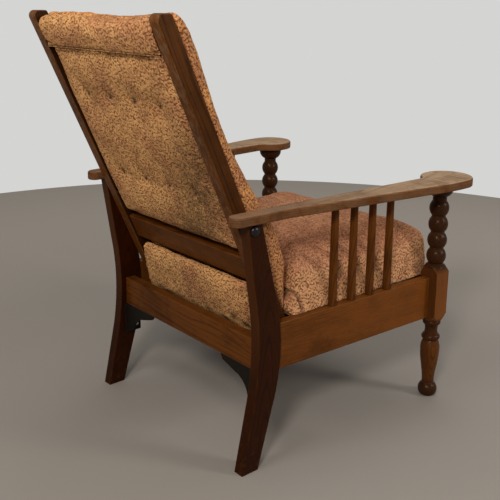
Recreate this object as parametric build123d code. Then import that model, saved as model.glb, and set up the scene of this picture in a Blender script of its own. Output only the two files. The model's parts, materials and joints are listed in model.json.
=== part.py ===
from build123d import *
import math
import os

# A reclining armchair with an oak frame. All lengths are in millimetres.
# +Z is up, the chair faces -Y, and the sitter's left is +X.
# Depths are measured back from the axis of the front legs.

# The whole chair
front_axis_y = -360.75
arm_underside = 560.0
front_leg_x = 306.0
rear_leg_outer = 282.0
rail_bottom = 217.0
side_rail_height = 106.0
rear_rail_height = 71.0

# Fits
glue_gap = 0.1
running_gap = 0.3
bolt_clearance = 0.05
overrun = 5.0
corner_cut_share = 1 - math.sqrt(0.5)

# Front legs: turned below and above a square block
leg_square = 48.0
block_rise = 22.0
block_turned = 8.0
block_shoulder_radius = 24.0
bobbin_count = 4
bobbin_pitch = 41.0
bobbin_drop = 60.0
bobbin_radius = 24.0
bobbin_length = 37.0
neck_radius = 17.0
capital_radius = 32.0
capital_height = 31.0
capital_lip = 7.0
ring_radius = 22.5
ring_height = 15.0
cove_radius = 15.5
torus_radius = 23.0
torus_drop = 56.0
torus_length = 16.0
vase_neck_radius = 18.0
vase_radius = 24.0
vase_drop = 92.0
ankle_radius = 15.0
ankle_height = 34.0
bun_radius = 24.0
bun_height = 17.0
sole_radius = 18.0
arm_dowel_radius = 11.0
arm_dowel_length = 13.0
# Shares along the vase's shoulder and the capital's curve, as distance and height
shoulder_shares = (0.8, 0.6)
capital_shares = (0.62, 0.3)

# Rear legs: planks sawn to a boomerang
rear_leg_thick = 27.0
rear_foot_back = 615.0
rear_foot_size = 46.0
rear_knee_back = 570.0
rear_knee_size = 63.5
rear_knee_height = 275.0
rear_top_back = 605.0
rear_top_size = 39.0
lower_bend_height = 160.0
upper_bend_height = 395.0
lower_bend_share = 0.24
upper_bend_share = 0.29
leg_edge = 2.0

# Side, rear and front rails
side_rail_set_out = 3.5
side_rail_set_in = 4.5
side_rail_thick = 22.0
rear_rail_thick = 27.0
rear_rail_inset = 15.0
front_rail_thick = 22.0
rail_edge = 1.5
tenon_thick = 9.0
tenon_shoulder = 12.0
front_tenon = 17.0
rear_tenon = 24.0
cross_tenon = 18.0

# Arms
arm_thick = 21.0
arm_rear_reach = 38.0
arm_rear_round = 15.0
arm_inner_clear = 0.5
arm_rear_width = 36.5
arm_waist_depth = 505.0
arm_waist_out = 17.0
arm_flare_depth = 116.0
arm_flare_out = 56.0
arm_flare_in = 16.5
paddle_radius = 60.0
paddle_set_out = 10.0
paddle_centre_depth = -10.0
paddle_notch_depth = 68.0
arm_top_round = 5.0
arm_under_round = 3.0
rear_tenon_width = 11.0
rear_tenon_depth = 22.0
# Shares of the way along the paddle's curves, across and in depth
flare_shares = (0.8, 0.5)
cheek_shares = (0.2, 0.45)
notch_start_shares = (0.7, 0.68)
notch_shares = (0.93, 0.81)

# Arm spindles
spindle_count = 4
spindle_first_depth = 167.0
spindle_pitch = 59.0
spindle_foot_radius = 10.0
spindle_head_radius = 8.5
spindle_peg_radius = 5.5
spindle_peg_length = 12.0

# Iron corner brackets under the rear rail
bracket_reach = 119.0
bracket_drop = 80.0
bracket_depth = 46.0
bracket_plate = 4.0
bracket_web = 8.0
bracket_toe = 12.0
bracket_throat = 26.0
bracket_back = 562.0
bracket_screw_radius = 2.5
bracket_screw_head = 4.5
bracket_screw_length = 18.0
bracket_screw_shares = (0.3, 0.75)
bracket_curve_shares = (1.5, 1.6)

# Reclining back frame. It leans about the pivot bolts, and heights along it are from them.
back_lean = 24.3
recline_range = 12.0
pivot_set_in = 19.0
pivot_drop = 16.0
spacer_thick = 3.0
stile_thick = 31.0
stile_size = 34.0
stile_top = 470.0
stile_foot = 316.0
stile_top_round = 12.0
stile_nose_round = 6.0
stile_edge = 3.0
back_rail_thick = 22.0
top_rail_drop = 24.0
top_rail_width = 48.0
cross_rail_drop = 83.0
cross_rail_width = 63.0
cross_rail_inset = 7.0
bottom_rail_rise = 80.0
bottom_rail_width = 42.0
back_tenon = 16.0

# Pivot bolts
bolt_radius = 5.0
bolt_head_radius = 12.0
bolt_head_height = 8.0
washer_radius = 13.0
washer_hole = 5.3
nut_radius = 9.5
nut_height = 8.0
nut_pocket_radius = 14.0
nut_pocket_depth = 11.0
nut_washer_thick = 2.0

# Sliding seat frame and its runners
runner_rise = 45.0
runner_width = 25.0
runner_height = 32.0
stop_length = 16.0
stop_rise = 6.0
runner_screw_radius = 2.5
runner_screw_head = 4.5
runner_screw_length = 38.0
runner_screw_shares = (0.16, 0.5, 0.84)
seat_leg_gap = 2.5
seat_rail_gap = 4.2
seat_front = -10.0
seat_rear = 408.0
seat_member_thick = 24.0
seat_member_height = 50.0
strap_width = 50.0
strap_thick = 2.0
strap_count = 4
hessian_thick = 2.0

# Seat springs
spring_rows = 3
spring_radius = 30.0
spring_wire = 1.7
spring_turns = 3

# Slotted plates that carry the foot of the back
plate_thick = 3.0
plate_gap = 1.0
plate_margin = 5.0
plate_flange = 34.0
plate_screw_radius = 2.5
plate_screw_head = 4.5
plate_screw_length = 18.0
plate_screw_shares = (0.25, 0.75)
pin_set_in = 18.0
pin_radius = 5.0
pin_head_radius = 8.5
pin_head_thick = 3.0
pin_washer_radius = 10.0
pin_washer_thick = 2.0
slot_gap = 1.4
slot_end_gap = 1.0

# Cushions
soft_gap = 0.3
bulge_low_rise = 16.0
bulge_mid_rise = 71.0
shoulder_rise = 118.0
cushion_rise = 144.0
dome_reach = 150.0
dome_angles = (0, 25, 50, 75, 88)
cushion_leg_gap = 1.5
cushion_over_leg = 2.0
cushion_nose = 24.0
cushion_rear_in = 16.0
cushion_rear_out = 34.0
cushion_front_corner = 46.0
cushion_rear_corner = 30.0
cushion_draw = 9.0
bulge_low_draw = 3.0
cushion_bow = 2.5
border_thick = 16.0
border_inset = 6.0
back_cushion_side_gap = 3.0
back_cushion_foot_rise = 76.0
back_cushion_drop = 20.0
back_cushion_fullness = 56.0
back_cushion_crown = 20.0
back_cushion_draw = 12.0
pad_widest_share = 0.45
panel_side_gap = 1.5
panel_crown = 2.0
panel_foot_rise = 16.0
panel_foot_draw = 62.0
panel_bulge = 15.0
panel_hem = 8.0
panel_rail_gap = 5.0
hood_drop = 12.0
hood_height = 64.0
hood_thick = 10.0
hood_proud = 5.0
tuft_pitch = 92.0
tuft_column_count = 4
tuft_first_row = 68.0
tuft_row_pitch = 209.0
tuft_row_count = 2
front_dimple_radius = 34.0
front_dimple_depth = 11.0
rear_dimple_radius = 20.0
rear_dimple_depth = 7.0
button_radius = 11.0
button_height = 6.0
tie_radius = 2.5
tie_height = 3.0

# Worked out from the sizes above
half_square = leg_square / 2
rear_leg_inner = rear_leg_outer - rear_leg_thick
side_rail_front_outer = front_leg_x + side_rail_set_out
side_rail_rear_outer = rear_leg_outer - side_rail_set_in
side_rail_top = rail_bottom + side_rail_height
rear_rail_top = rail_bottom + rear_rail_height
block_top = side_rail_top + block_rise
runner_top = rail_bottom + runner_rise
runner_rear = seat_rear + stop_length
arm_rear_end = rear_top_back + arm_rear_reach
arm_waist_outer = rear_leg_outer + arm_waist_out
arm_flare_outer = front_leg_x + arm_flare_out
arm_flare_inner = front_leg_x - arm_flare_in
paddle_centre_x = front_leg_x + paddle_set_out
pivot_depth = rear_top_back - pivot_set_in
pivot_height = arm_underside - pivot_drop
stile_outer = rear_leg_inner - spacer_thick
stile_inner = stile_outer - stile_thick
half_stile = stile_size / 2
rear_rail_back = rear_knee_back - rear_rail_inset
rear_rail_front = rear_rail_back - rear_rail_thick
rear_knee_front = rear_knee_back - rear_knee_size
seat_frame_low = runner_top + running_gap
seat_frame_high = seat_frame_low + seat_member_height
cushion_low = seat_frame_high + hessian_thick
seat_bulge_low = cushion_low + bulge_low_rise
seat_bulge_mid = cushion_low + bulge_mid_rise
seat_shoulder = cushion_low + shoulder_rise
seat_top = cushion_low + cushion_rise
cushion_front = seat_front - cushion_nose
cushion_rear_low = seat_rear - cushion_rear_in
cushion_rear_high = seat_rear + cushion_rear_out
cushion_front_outer = front_leg_x - half_square - cushion_leg_gap
cushion_rear_outer = rear_leg_inner + cushion_over_leg
rail_slope = (side_rail_front_outer - side_rail_rear_outer) / rear_knee_front
top_rail_high = stile_top - top_rail_drop
top_rail_low = top_rail_high - top_rail_width
cross_rail_high = -cross_rail_drop
cross_rail_low = cross_rail_high - cross_rail_width
bottom_rail_low = -stile_foot + bottom_rail_rise
bottom_rail_high = bottom_rail_low + bottom_rail_width
pin_height_on_back = stile_foot - pin_set_in
back_cushion_outer = stile_outer - back_cushion_side_gap
back_cushion_low = -stile_foot + back_cushion_foot_rise
back_cushion_high = stile_top - back_cushion_drop
panel_foot = -stile_foot + panel_foot_rise
hood_high = stile_top - hood_drop
hood_low = hood_high - hood_height
tuft_columns = [(index - (tuft_column_count - 1) / 2) * tuft_pitch for index in range(tuft_column_count)]
tuft_rows = [tuft_first_row + index * tuft_row_pitch for index in range(tuft_row_count)]


def rail_outer(depth):
    """Distance of the side rail's outer face from the middle, which narrows to the rear."""
    return side_rail_front_outer - rail_slope * depth


def rail_inner(depth):
    """Distance of the side rail's inner face from the middle."""
    return rail_outer(depth) - side_rail_thick


seat_front_outer = front_leg_x - half_square - seat_leg_gap
seat_rear_outer = rail_inner(seat_rear) - seat_rail_gap


def between(start, end, share):
    return start + (end - start) * share


def prism(points, low, high):
    """A flat outline of plan points raised from one height to another."""
    face = make_face(Polyline(*points, close=True))
    return Pos(0, 0, low) * extrude(face, high - low)


def side_prism(outline, inner, outer):
    """An outline in depth and height, made thick across the chair."""
    face = Plane.YZ * make_face(outline)
    return Pos(inner, 0, 0) * extrude(face, outer - inner)


def box(x, y, z):
    """A box from its low and high ends along each axis."""
    size = [high - low for low, high in (x, y, z)]
    middle = [(low + high) / 2 for low, high in (x, y, z)]
    return Pos(*middle) * Box(*size)


def rod(radius, start, end):
    """A round bar between two points that share an axis direction."""
    line = Line(start, end)
    return extrude(Plane(origin=start, z_dir=line % 0) * Circle(radius), line.length)


def turned(*pieces):
    """A solid turned about Z from profile pieces in distance and height."""
    start, end = pieces[0] @ 0, pieces[-1] @ 1
    closing = Polyline((end.X, end.Y), (0, end.Y), (0, start.Y), (start.X, start.Y))
    face = make_face(Curve() + list(pieces) + closing)
    return revolve(Plane.XZ * face, Axis.Z)


def screw(radius, head, length, start, direction):
    """A countersunk wood screw whose flat head starts at a point and runs along a direction."""
    place = Plane(origin=start, z_dir=direction)
    cone_height = head - radius
    cone = Cone(head, radius, cone_height, align=(Align.CENTER, Align.CENTER, Align.MIN))
    shank = Cylinder(radius, length, align=(Align.CENTER, Align.CENTER, Align.MIN))
    return place * (cone + shank)


def mirrored(shape):
    return mirror(shape, about=Plane.YZ)


def pilot_holes(screws):
    """The room that a set of screws needs in the wood."""
    return Part() + screws


def on_back(shape):
    """Puts a piece of the back, drawn upright about the pivot, at its lean."""
    return Pos(0, pivot_depth, pivot_height) * Rot(-back_lean, 0, 0) * shape


# Rear legs

def rear_leg_outline():
    foot_front = rear_foot_back - rear_foot_size
    top_front = rear_top_back - rear_top_size
    low_back = between(rear_knee_back, rear_foot_back, lower_bend_share)
    high_back = between(rear_knee_back, rear_top_back, upper_bend_share)
    low_front = between(rear_knee_front, foot_front, lower_bend_share)
    high_front = between(rear_knee_front, top_front, upper_bend_share)
    foot = Line((foot_front, 0), (rear_foot_back, 0))
    back_low = Line(foot @ 1, (low_back, lower_bend_height))
    back_bend = ThreePointArc(
        back_low @ 1, (rear_knee_back, rear_knee_height), (high_back, upper_bend_height)
    )
    back_high = Line(back_bend @ 1, (rear_top_back, arm_underside))
    top = Line(back_high @ 1, (top_front, arm_underside))
    front_high = Line(top @ 1, (high_front, upper_bend_height))
    front_bend = ThreePointArc(
        front_high @ 1, (rear_knee_front, rear_knee_height), (low_front, lower_bend_height)
    )
    front_low = Line(front_bend @ 1, foot @ 0)
    return Curve() + [foot, back_low, back_bend, back_high, top, front_high, front_bend, front_low]


def rear_leg_plank():
    return side_prism(rear_leg_outline(), rear_leg_inner, rear_leg_outer)


def rear_leg_top_tenon(gap=0):
    middle_x = rear_leg_outer - rear_leg_thick / 2
    middle_depth = rear_top_back - rear_top_size / 2
    half_width = rear_tenon_width / 2 + gap
    half_depth = rear_tenon_depth / 2 + gap
    return box(
        (middle_x - half_width, middle_x + half_width),
        (middle_depth - half_depth, middle_depth + half_depth),
        (arm_underside, arm_underside + arm_dowel_length + gap),
    )


def rear_leg():
    leg = rear_leg_plank()
    long_edges = leg.edges().filter_by(lambda edge: abs((edge % 0.5).X) < 0.5)
    ends = long_edges.filter_by(lambda edge: abs((edge % 0.5).Z) < 0.05)
    leg = fillet([edge for edge in long_edges if edge not in ends], leg_edge)
    leg += rear_leg_top_tenon()
    hole = rod(
        bolt_radius + bolt_clearance,
        (rear_leg_inner - overrun, pivot_depth, pivot_height),
        (rear_leg_outer + overrun, pivot_depth, pivot_height),
    )
    leg = leg - hole - side_rail_rear_tenon(glue_gap) - rear_rail_tenon(glue_gap)
    return leg - pilot_holes(bracket_screws(glue_gap))


# Front legs

def ring_profile(low, high, root, crest):
    """One rounded ring or bobbin between two heights."""
    return ThreePointArc((root, low), (crest, (low + high) / 2), (root, high))


def front_leg_foot():
    """The bun foot, ankle, vase and rings below the block."""
    ring_low = rail_bottom - block_turned - ring_height
    torus_low = rail_bottom - torus_drop - torus_length / 2
    torus_high = rail_bottom - torus_drop + torus_length / 2
    vase_height = rail_bottom - vase_drop
    bun = ThreePointArc((sole_radius, 0), (bun_radius, bun_height), (ankle_radius, ankle_height))
    swell = Spline(
        bun @ 1, (vase_radius, vase_height), tangents=((0, 1), (0, 1))
    )
    shoulder = ThreePointArc(
        swell @ 1,
        (
            between(vase_neck_radius, vase_radius, shoulder_shares[0]),
            between(vase_height, torus_low, shoulder_shares[1]),
        ),
        (vase_neck_radius, torus_low),
    )
    torus = ring_profile(torus_low, torus_high, vase_neck_radius, torus_radius)
    cove = ThreePointArc(
        torus @ 1, (cove_radius, (torus_high + ring_low) / 2), (vase_neck_radius, ring_low)
    )
    ring = ring_profile(ring_low, ring_low + ring_height, vase_neck_radius, ring_radius)
    collar = Line(ring @ 1, (vase_neck_radius, rail_bottom + overrun))
    return turned(bun, swell, shoulder, torus, cove, ring, collar)


def front_leg_block():
    """The square block, whose corners are turned away at both ends."""
    corner = half_square * math.sqrt(2)
    turned_end = Polyline(
        (block_shoulder_radius, rail_bottom - block_turned),
        (corner, rail_bottom + block_turned),
        (corner, block_top - block_turned),
        (block_shoulder_radius, block_top + block_turned),
    )
    square = box(
        (-half_square, half_square), (-half_square, half_square),
        (rail_bottom - block_turned, block_top + block_turned),
    )
    return square & turned(turned_end)


def front_leg_bobbins():
    """The run of bobbins between the block and the arm."""
    highest = arm_underside - bobbin_drop
    lowest = highest - (bobbin_count - 1) * bobbin_pitch - bobbin_length / 2
    pieces = [Line(
        (block_shoulder_radius, block_top), (block_shoulder_radius, block_top + block_turned)
    )]
    pieces.append(Line(pieces[-1] @ 1, (neck_radius, lowest)))
    for index in range(bobbin_count):
        low = lowest + index * bobbin_pitch
        if index:
            pieces.append(Line(pieces[-1] @ 1, (neck_radius, low)))
        pieces.append(ring_profile(low, low + bobbin_length, neck_radius, bobbin_radius))
    capital_low = arm_underside - capital_height
    pieces.append(Line(pieces[-1] @ 1, (neck_radius, capital_low)))
    lip_low = arm_underside - capital_lip
    pieces.append(ThreePointArc(
        pieces[-1] @ 1,
        (
            between(neck_radius, capital_radius, capital_shares[0]),
            between(capital_low, lip_low, capital_shares[1]),
        ),
        (capital_radius, lip_low),
    ))
    pieces.append(Line(pieces[-1] @ 1, (capital_radius, arm_underside)))
    return turned(*pieces)


def front_leg_dowel(gap=0):
    return Pos(front_leg_x, 0, 0) * rod(
        arm_dowel_radius + gap, (0, 0, arm_underside), (0, 0, arm_underside + arm_dowel_length + gap)
    )


def front_leg():
    leg = front_leg_foot() + front_leg_block() + front_leg_bobbins()
    leg = Pos(front_leg_x, 0, 0) * leg + front_leg_dowel()
    return leg - side_rail_front_tenon(glue_gap) - front_rail_tenon(glue_gap)


# Rails

def side_rail_tenon(start, end, gap):
    """A tenon along the side rail's own line, between two depths."""
    low = rail_bottom + tenon_shoulder - gap
    high = side_rail_top - tenon_shoulder + gap
    inner = (side_rail_thick - tenon_thick) / 2 - gap
    outer = (side_rail_thick + tenon_thick) / 2 + gap
    return prism(
        [
            (rail_inner(start) + inner, start), (rail_inner(start) + outer, start),
            (rail_inner(end) + outer, end), (rail_inner(end) + inner, end),
        ],
        low, high,
    )


def side_rail_front_tenon(gap=0):
    return side_rail_tenon(half_square - front_tenon - gap, half_square, gap)


def side_rail_rear_tenon(gap=0):
    return side_rail_tenon(rear_knee_front - tenon_shoulder, rear_knee_front + rear_tenon + gap, gap)


def side_rail():
    end = rear_knee_front + leg_square
    body = prism(
        [
            (rail_inner(half_square), half_square), (rail_outer(half_square), half_square),
            (rail_outer(end), end), (rail_inner(end), end),
        ],
        rail_bottom, side_rail_top,
    )
    body = fillet(body.edges().filter_by(lambda edge: abs((edge % 0.5).Y) > 0.9), rail_edge)
    body -= side_prism(rear_leg_outline(), 0, rear_leg_outer)
    body = body.solids().sort_by(Axis.Y)[0]
    body += side_rail_front_tenon() + side_rail_rear_tenon()
    body -= pilot_holes(runner_screws(glue_gap))
    for index in range(spindle_count):
        body -= spindle_peg(index, side_rail_top, -1, glue_gap)
    return body


def rear_rail_tenon(gap=0):
    middle = (rear_rail_back + rear_rail_front) / 2
    half = tenon_thick / 2 + gap
    return box(
        (rear_leg_inner, rear_leg_inner + cross_tenon + gap), (middle - half, middle + half),
        (rail_bottom + tenon_shoulder - gap, rear_rail_top - tenon_shoulder + gap),
    )


def rear_rail():
    rail = box(
        (-rear_leg_inner, rear_leg_inner), (rear_rail_front, rear_rail_back), (rail_bottom, rear_rail_top)
    )
    rail = fillet(rail.edges().filter_by(Axis.X), rail_edge)
    holes = pilot_holes(bracket_screws(glue_gap))
    return rail + rear_rail_tenon() + mirrored(rear_rail_tenon()) - holes - mirrored(holes)


def front_rail_tenon(gap=0):
    start = front_leg_x - half_square
    half = tenon_thick / 2 + gap
    return box(
        (start, start + cross_tenon + gap), (-half, half),
        (rail_bottom + tenon_shoulder - gap, runner_top - tenon_shoulder + gap),
    )


def front_rail():
    end = front_leg_x - half_square
    half = front_rail_thick / 2
    rail = box((-end, end), (-half, half), (rail_bottom, runner_top))
    rail = fillet(rail.edges().filter_by(Axis.X), rail_edge)
    return rail + front_rail_tenon() + mirrored(front_rail_tenon())


# Arms and their spindles

def part_way(start, end, shares):
    """A plan point at a share of the way across and a share of the way in depth."""
    return between(start[0], end[0], shares[0]), between(start[1], end[1], shares[1])


def arm_outline():
    inner = rear_leg_inner + arm_inner_clear
    outer = inner + arm_rear_width
    rear = arm_rear_end - arm_rear_round
    paddle_outer = paddle_centre_x + paddle_radius
    paddle_inner = paddle_centre_x - paddle_radius
    front = paddle_centre_depth - paddle_radius
    end = ThreePointArc((inner, rear), ((inner + outer) / 2, arm_rear_end), (outer, rear))
    waist = Line(end @ 1, (arm_waist_outer, arm_waist_depth))
    widest, narrowest = (paddle_outer, paddle_centre_depth), (paddle_inner, paddle_centre_depth)
    flare_end, notch_end = (arm_flare_outer, arm_flare_depth), (arm_flare_inner, paddle_notch_depth)
    flare = Line(waist @ 1, flare_end)
    swell = ThreePointArc(flare @ 1, part_way(flare_end, widest, flare_shares), widest)
    nose = ThreePointArc(swell @ 1, (paddle_centre_x, front), narrowest)
    cheek = ThreePointArc(
        nose @ 1, part_way(narrowest, notch_end, cheek_shares),
        part_way(narrowest, notch_end, notch_start_shares),
    )
    notch = ThreePointArc(cheek @ 1, part_way(narrowest, notch_end, notch_shares), notch_end)
    inside = Line(notch @ 1, end @ 0)
    return Curve() + [end, waist, flare, swell, nose, cheek, notch, inside]


def arm():
    board = Pos(0, 0, arm_underside) * extrude(make_face(arm_outline()), arm_thick)
    board = fillet(board.faces().sort_by(Axis.Z)[-1].edges(), arm_top_round)
    board = fillet(board.faces().sort_by(Axis.Z)[0].edges(), arm_under_round)
    board -= front_leg_dowel(glue_gap) + rear_leg_top_tenon(glue_gap)
    for index in range(spindle_count):
        board -= spindle_peg(index, arm_underside, 1, glue_gap)
    return board


def spindle_place(index):
    depth = spindle_first_depth + index * spindle_pitch
    return rail_inner(depth) + side_rail_thick / 2, depth


def spindle_peg(index, height, direction, gap=0):
    x, depth = spindle_place(index)
    end = height + direction * (spindle_peg_length + gap)
    return rod(spindle_peg_radius + gap, (x, depth, height), (x, depth, end))


def spindle(index):
    x, depth = spindle_place(index)
    length = arm_underside - side_rail_top
    bar = Cone(
        spindle_foot_radius, spindle_head_radius, length, align=(Align.CENTER, Align.CENTER, Align.MIN)
    )
    bar = Pos(x, depth, side_rail_top) * bar
    return bar + spindle_peg(index, side_rail_top, -1) + spindle_peg(index, arm_underside, 1)


# Corner brackets

def bracket_screw_places():
    """Where the screws start, and which way they run, on the leg and under the rail."""
    middle = bracket_back - bracket_depth / 2
    under = rail_bottom - bracket_plate
    side = rear_leg_inner - bracket_plate
    quarter = bracket_depth / 4
    places = []
    for share in bracket_screw_shares:
        drop = rail_bottom - bracket_drop * share - bracket_plate
        places.append(((side, middle - quarter, drop), (1, 0, 0)))
        reach = rear_leg_inner - bracket_reach * share - bracket_plate
        places.append(((reach, rear_rail_front + rear_rail_thick / 3, under), (0, 0, 1)))
    return places


def corner_bracket():
    """A plate on the leg, a plate under the rail and a curved web that joins them."""
    front = bracket_back - bracket_depth
    leg_plate = box(
        (rear_leg_inner - bracket_plate, rear_leg_inner), (front, bracket_back),
        (rail_bottom - bracket_drop, rail_bottom),
    )
    rail_plate = box(
        (rear_leg_inner - bracket_reach, rear_leg_inner), (front, rear_rail_back),
        (rail_bottom - bracket_plate, rail_bottom),
    )
    toe = bracket_toe
    inner = rear_leg_inner
    bottom = rail_bottom - bracket_drop
    outline = Curve() + [
        Line((inner, rail_bottom), (inner - bracket_reach, rail_bottom)),
        Line((inner - bracket_reach, rail_bottom), (inner - bracket_reach + toe / 2, rail_bottom - toe)),
        Line(
            (inner - bracket_reach + toe / 2, rail_bottom - toe),
            (inner - bracket_drop + toe, rail_bottom - bracket_throat),
        ),
        ThreePointArc(
            (inner - bracket_drop + toe, rail_bottom - bracket_throat),
            (
                inner - bracket_throat * bracket_curve_shares[0],
                rail_bottom - bracket_throat * bracket_curve_shares[1],
            ),
            (inner - bracket_throat, bottom + toe),
        ),
        Line((inner - bracket_throat, bottom + toe), (inner - bracket_plate, bottom)),
        Line((inner - bracket_plate, bottom), (inner, bottom)),
        Line((inner, bottom), (inner, rail_bottom)),
    ]
    web = extrude(Plane.XZ * make_face(outline), bracket_web)
    web = Pos(0, rear_rail_back, 0) * web
    return leg_plate + rail_plate + web - pilot_holes(bracket_screws(glue_gap))


def bracket_screws(gap=0):
    return [
        screw(bracket_screw_radius + gap, bracket_screw_head + gap, bracket_screw_length + gap, place, way)
        for place, way in bracket_screw_places()
    ]


# Pivot bolts

def pivot_bolt():
    """A coach bolt with a domed head outside the leg."""
    squash = bolt_head_height / bolt_head_radius
    cap = scale(Sphere(bolt_head_radius), by=(squash, 1, 1))
    around = (-bolt_head_radius, bolt_head_radius)
    cap -= box((-bolt_head_radius, 0), around, around)
    cap = Pos(rear_leg_outer, 0, 0) * cap
    shank = rod(bolt_radius, (stile_inner + overrun / 2, 0, 0), (rear_leg_outer, 0, 0))
    return Pos(0, pivot_depth, pivot_height) * (cap + shank)


def ring_washer(radius, hole, low, high):
    return rod(radius, (low, 0, 0), (high, 0, 0)) - rod(hole, (low - overrun, 0, 0), (high + overrun, 0, 0))


def pivot_spacer():
    low = stile_outer + running_gap
    return Pos(0, pivot_depth, pivot_height) * ring_washer(washer_radius, washer_hole, low, rear_leg_inner)


def pivot_nut_place():
    return stile_inner + nut_pocket_depth


def pivot_nut_washer():
    high = pivot_nut_place() - running_gap
    washer = ring_washer(washer_radius, washer_hole, high - nut_washer_thick, high)
    return Pos(0, pivot_depth, pivot_height) * washer


def pivot_nut():
    high = pivot_nut_place() - running_gap - nut_washer_thick
    hexagon = Plane.YZ * RegularPolygon(nut_radius, 6)
    nut = Pos(high - nut_height, 0, 0) * extrude(hexagon, nut_height)
    hole = rod(bolt_radius, (high - nut_height - overrun, 0, 0), (high + overrun, 0, 0))
    return Pos(0, pivot_depth, pivot_height) * (nut - hole)


# Back frame, drawn upright about the pivot and then leaned

def stile_outline():
    rise = half_stile * math.tan(math.radians(back_lean))
    front_top = (-half_stile, stile_top - rise)
    rear_top = (half_stile, stile_top + rise)
    foot = ThreePointArc(
        (-half_stile, -stile_foot + half_stile), (0, -stile_foot), (half_stile, -stile_foot + half_stile)
    )
    rear = Line(foot @ 1, rear_top)
    top = Line(rear_top, front_top)
    front = Line(front_top, foot @ 0)
    return Curve() + [foot, rear, top, front]


def back_rail(low, high, inset):
    """A cross piece of the back between the stiles, with a tenon at each end."""
    rear = half_stile - inset
    front = rear - back_rail_thick
    end = stile_inner
    rail = box((-end, end), (front, rear), (low, high))
    rail = fillet(rail.edges().filter_by(Axis.X), rail_edge)
    tenon = back_rail_tenon(low, high, inset)
    return rail + tenon + mirrored(tenon)


def back_rail_tenon(low, high, inset, gap=0):
    middle = half_stile - inset - back_rail_thick / 2
    half = tenon_thick / 2 + gap
    return box(
        (stile_inner, stile_inner + back_tenon + gap), (middle - half, middle + half),
        (low + tenon_shoulder - gap, high - tenon_shoulder + gap),
    )


top_rail_inset = (stile_size - back_rail_thick) / 2
back_rails = {
    "back_top_rail": (top_rail_low, top_rail_high, top_rail_inset),
    "back_cross_rail": (cross_rail_low, cross_rail_high, cross_rail_inset),
    "back_bottom_rail": (bottom_rail_low, bottom_rail_high, top_rail_inset),
}


def back_stile():
    post = side_prism(stile_outline(), stile_inner, stile_outer)
    tops = post.edges().filter_by(Axis.X).sort_by(Axis.Z)[-2:].sort_by(Axis.Y)
    post = fillet(tops[1], stile_top_round)
    tops = post.edges().filter_by(Axis.X).filter_by(
        lambda edge: edge.center().Y < -half_stile + glue_gap and edge.center().Z > 0
    )
    post = fillet(tops, stile_nose_round)
    rims = post.edges().filter_by(lambda edge: abs((edge % 0.5).X) < 0.5)
    post = fillet(rims, stile_edge)
    post -= rod(bolt_radius + bolt_clearance, (stile_inner - overrun, 0, 0), (stile_outer + overrun, 0, 0))
    post -= rod(
        nut_pocket_radius, (stile_inner - overrun, 0, 0), (stile_inner + nut_pocket_depth, 0, 0)
    )
    post -= Pos(0, 0, -pin_height_on_back) * slot_pin_shape(glue_gap)
    for low, high, inset in back_rails.values():
        post -= back_rail_tenon(low, high, inset, glue_gap)
    return on_back(post)


# The pin in the foot of each stile, and the slotted plate that it drives

def plate_outer():
    return stile_inner - plate_gap


def slot_pin_shape(gap=0):
    """A flat-headed pin that is flush outside the stile and runs in past the slotted plate."""
    inner_end = plate_outer() - plate_thick - plate_gap - pin_washer_thick - overrun
    shank = rod(pin_radius + gap, (inner_end, 0, 0), (stile_outer, 0, 0))
    head = rod(pin_head_radius + gap, (stile_outer - pin_head_thick - gap, 0, 0), (stile_outer, 0, 0))
    return shank + head


def slot_pin():
    return on_back(Pos(0, 0, -pin_height_on_back) * slot_pin_shape())


def slot_pin_washer():
    high = plate_outer() - plate_thick - plate_gap
    washer = ring_washer(pin_washer_radius, pin_radius + glue_gap, high - pin_washer_thick, high)
    return on_back(Pos(0, 0, -pin_height_on_back) * washer)


def pin_place(lean_degrees):
    """Depth and height of the slot pin with the back at a lean."""
    lean = math.radians(lean_degrees)
    return (
        pivot_depth - pin_height_on_back * math.sin(lean),
        pivot_height - pin_height_on_back * math.cos(lean),
    )


def plate_screw_places():
    middle_x = plate_outer() - plate_thick - plate_flange / 2
    rear = seat_rear + plate_thick
    return [
        ((middle_x, rear, seat_frame_low + seat_member_height * share), (0, -1, 0))
        for share in plate_screw_shares
    ]


def slot_plate():
    """An angle plate: one leaf on the seat's rear member, one with an upright slot for the pin."""
    depth, height = pin_place(back_lean)
    top_height = pin_place(back_lean + recline_range)[1]
    slot_half = pin_radius + slot_gap
    low = seat_frame_low
    high = top_height + slot_end_gap + slot_half + plate_margin
    outer = plate_outer()
    wing = box(
        (outer - plate_thick, outer), (seat_rear, depth + slot_half + plate_margin), (low, high)
    )
    leaf = box(
        (outer - plate_flange, outer), (seat_rear, seat_rear + plate_thick),
        (low, low + seat_member_height),
    )
    slot = box(
        (outer - plate_thick - overrun, outer + overrun), (depth - slot_half, depth + slot_half),
        (height - slot_end_gap, top_height + slot_end_gap),
    )
    for end in (height - slot_end_gap, top_height + slot_end_gap):
        slot += rod(slot_half, (outer - plate_thick - overrun, depth, end), (outer + overrun, depth, end))
    return wing + leaf - slot - pilot_holes(plate_screws(glue_gap))


def plate_screws(gap=0):
    return [
        screw(plate_screw_radius + gap, plate_screw_head + gap, plate_screw_length + gap, place, way)
        for place, way in plate_screw_places()
    ]


# Runners and the seat frame

def runner_screw_places():
    places = []
    for share in runner_screw_shares:
        depth = between(half_square, runner_rear, share)
        start = rail_inner(depth) - runner_width
        places.append(((start, depth, runner_top - runner_height / 2), (1, 0, 0)))
    return places


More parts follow.
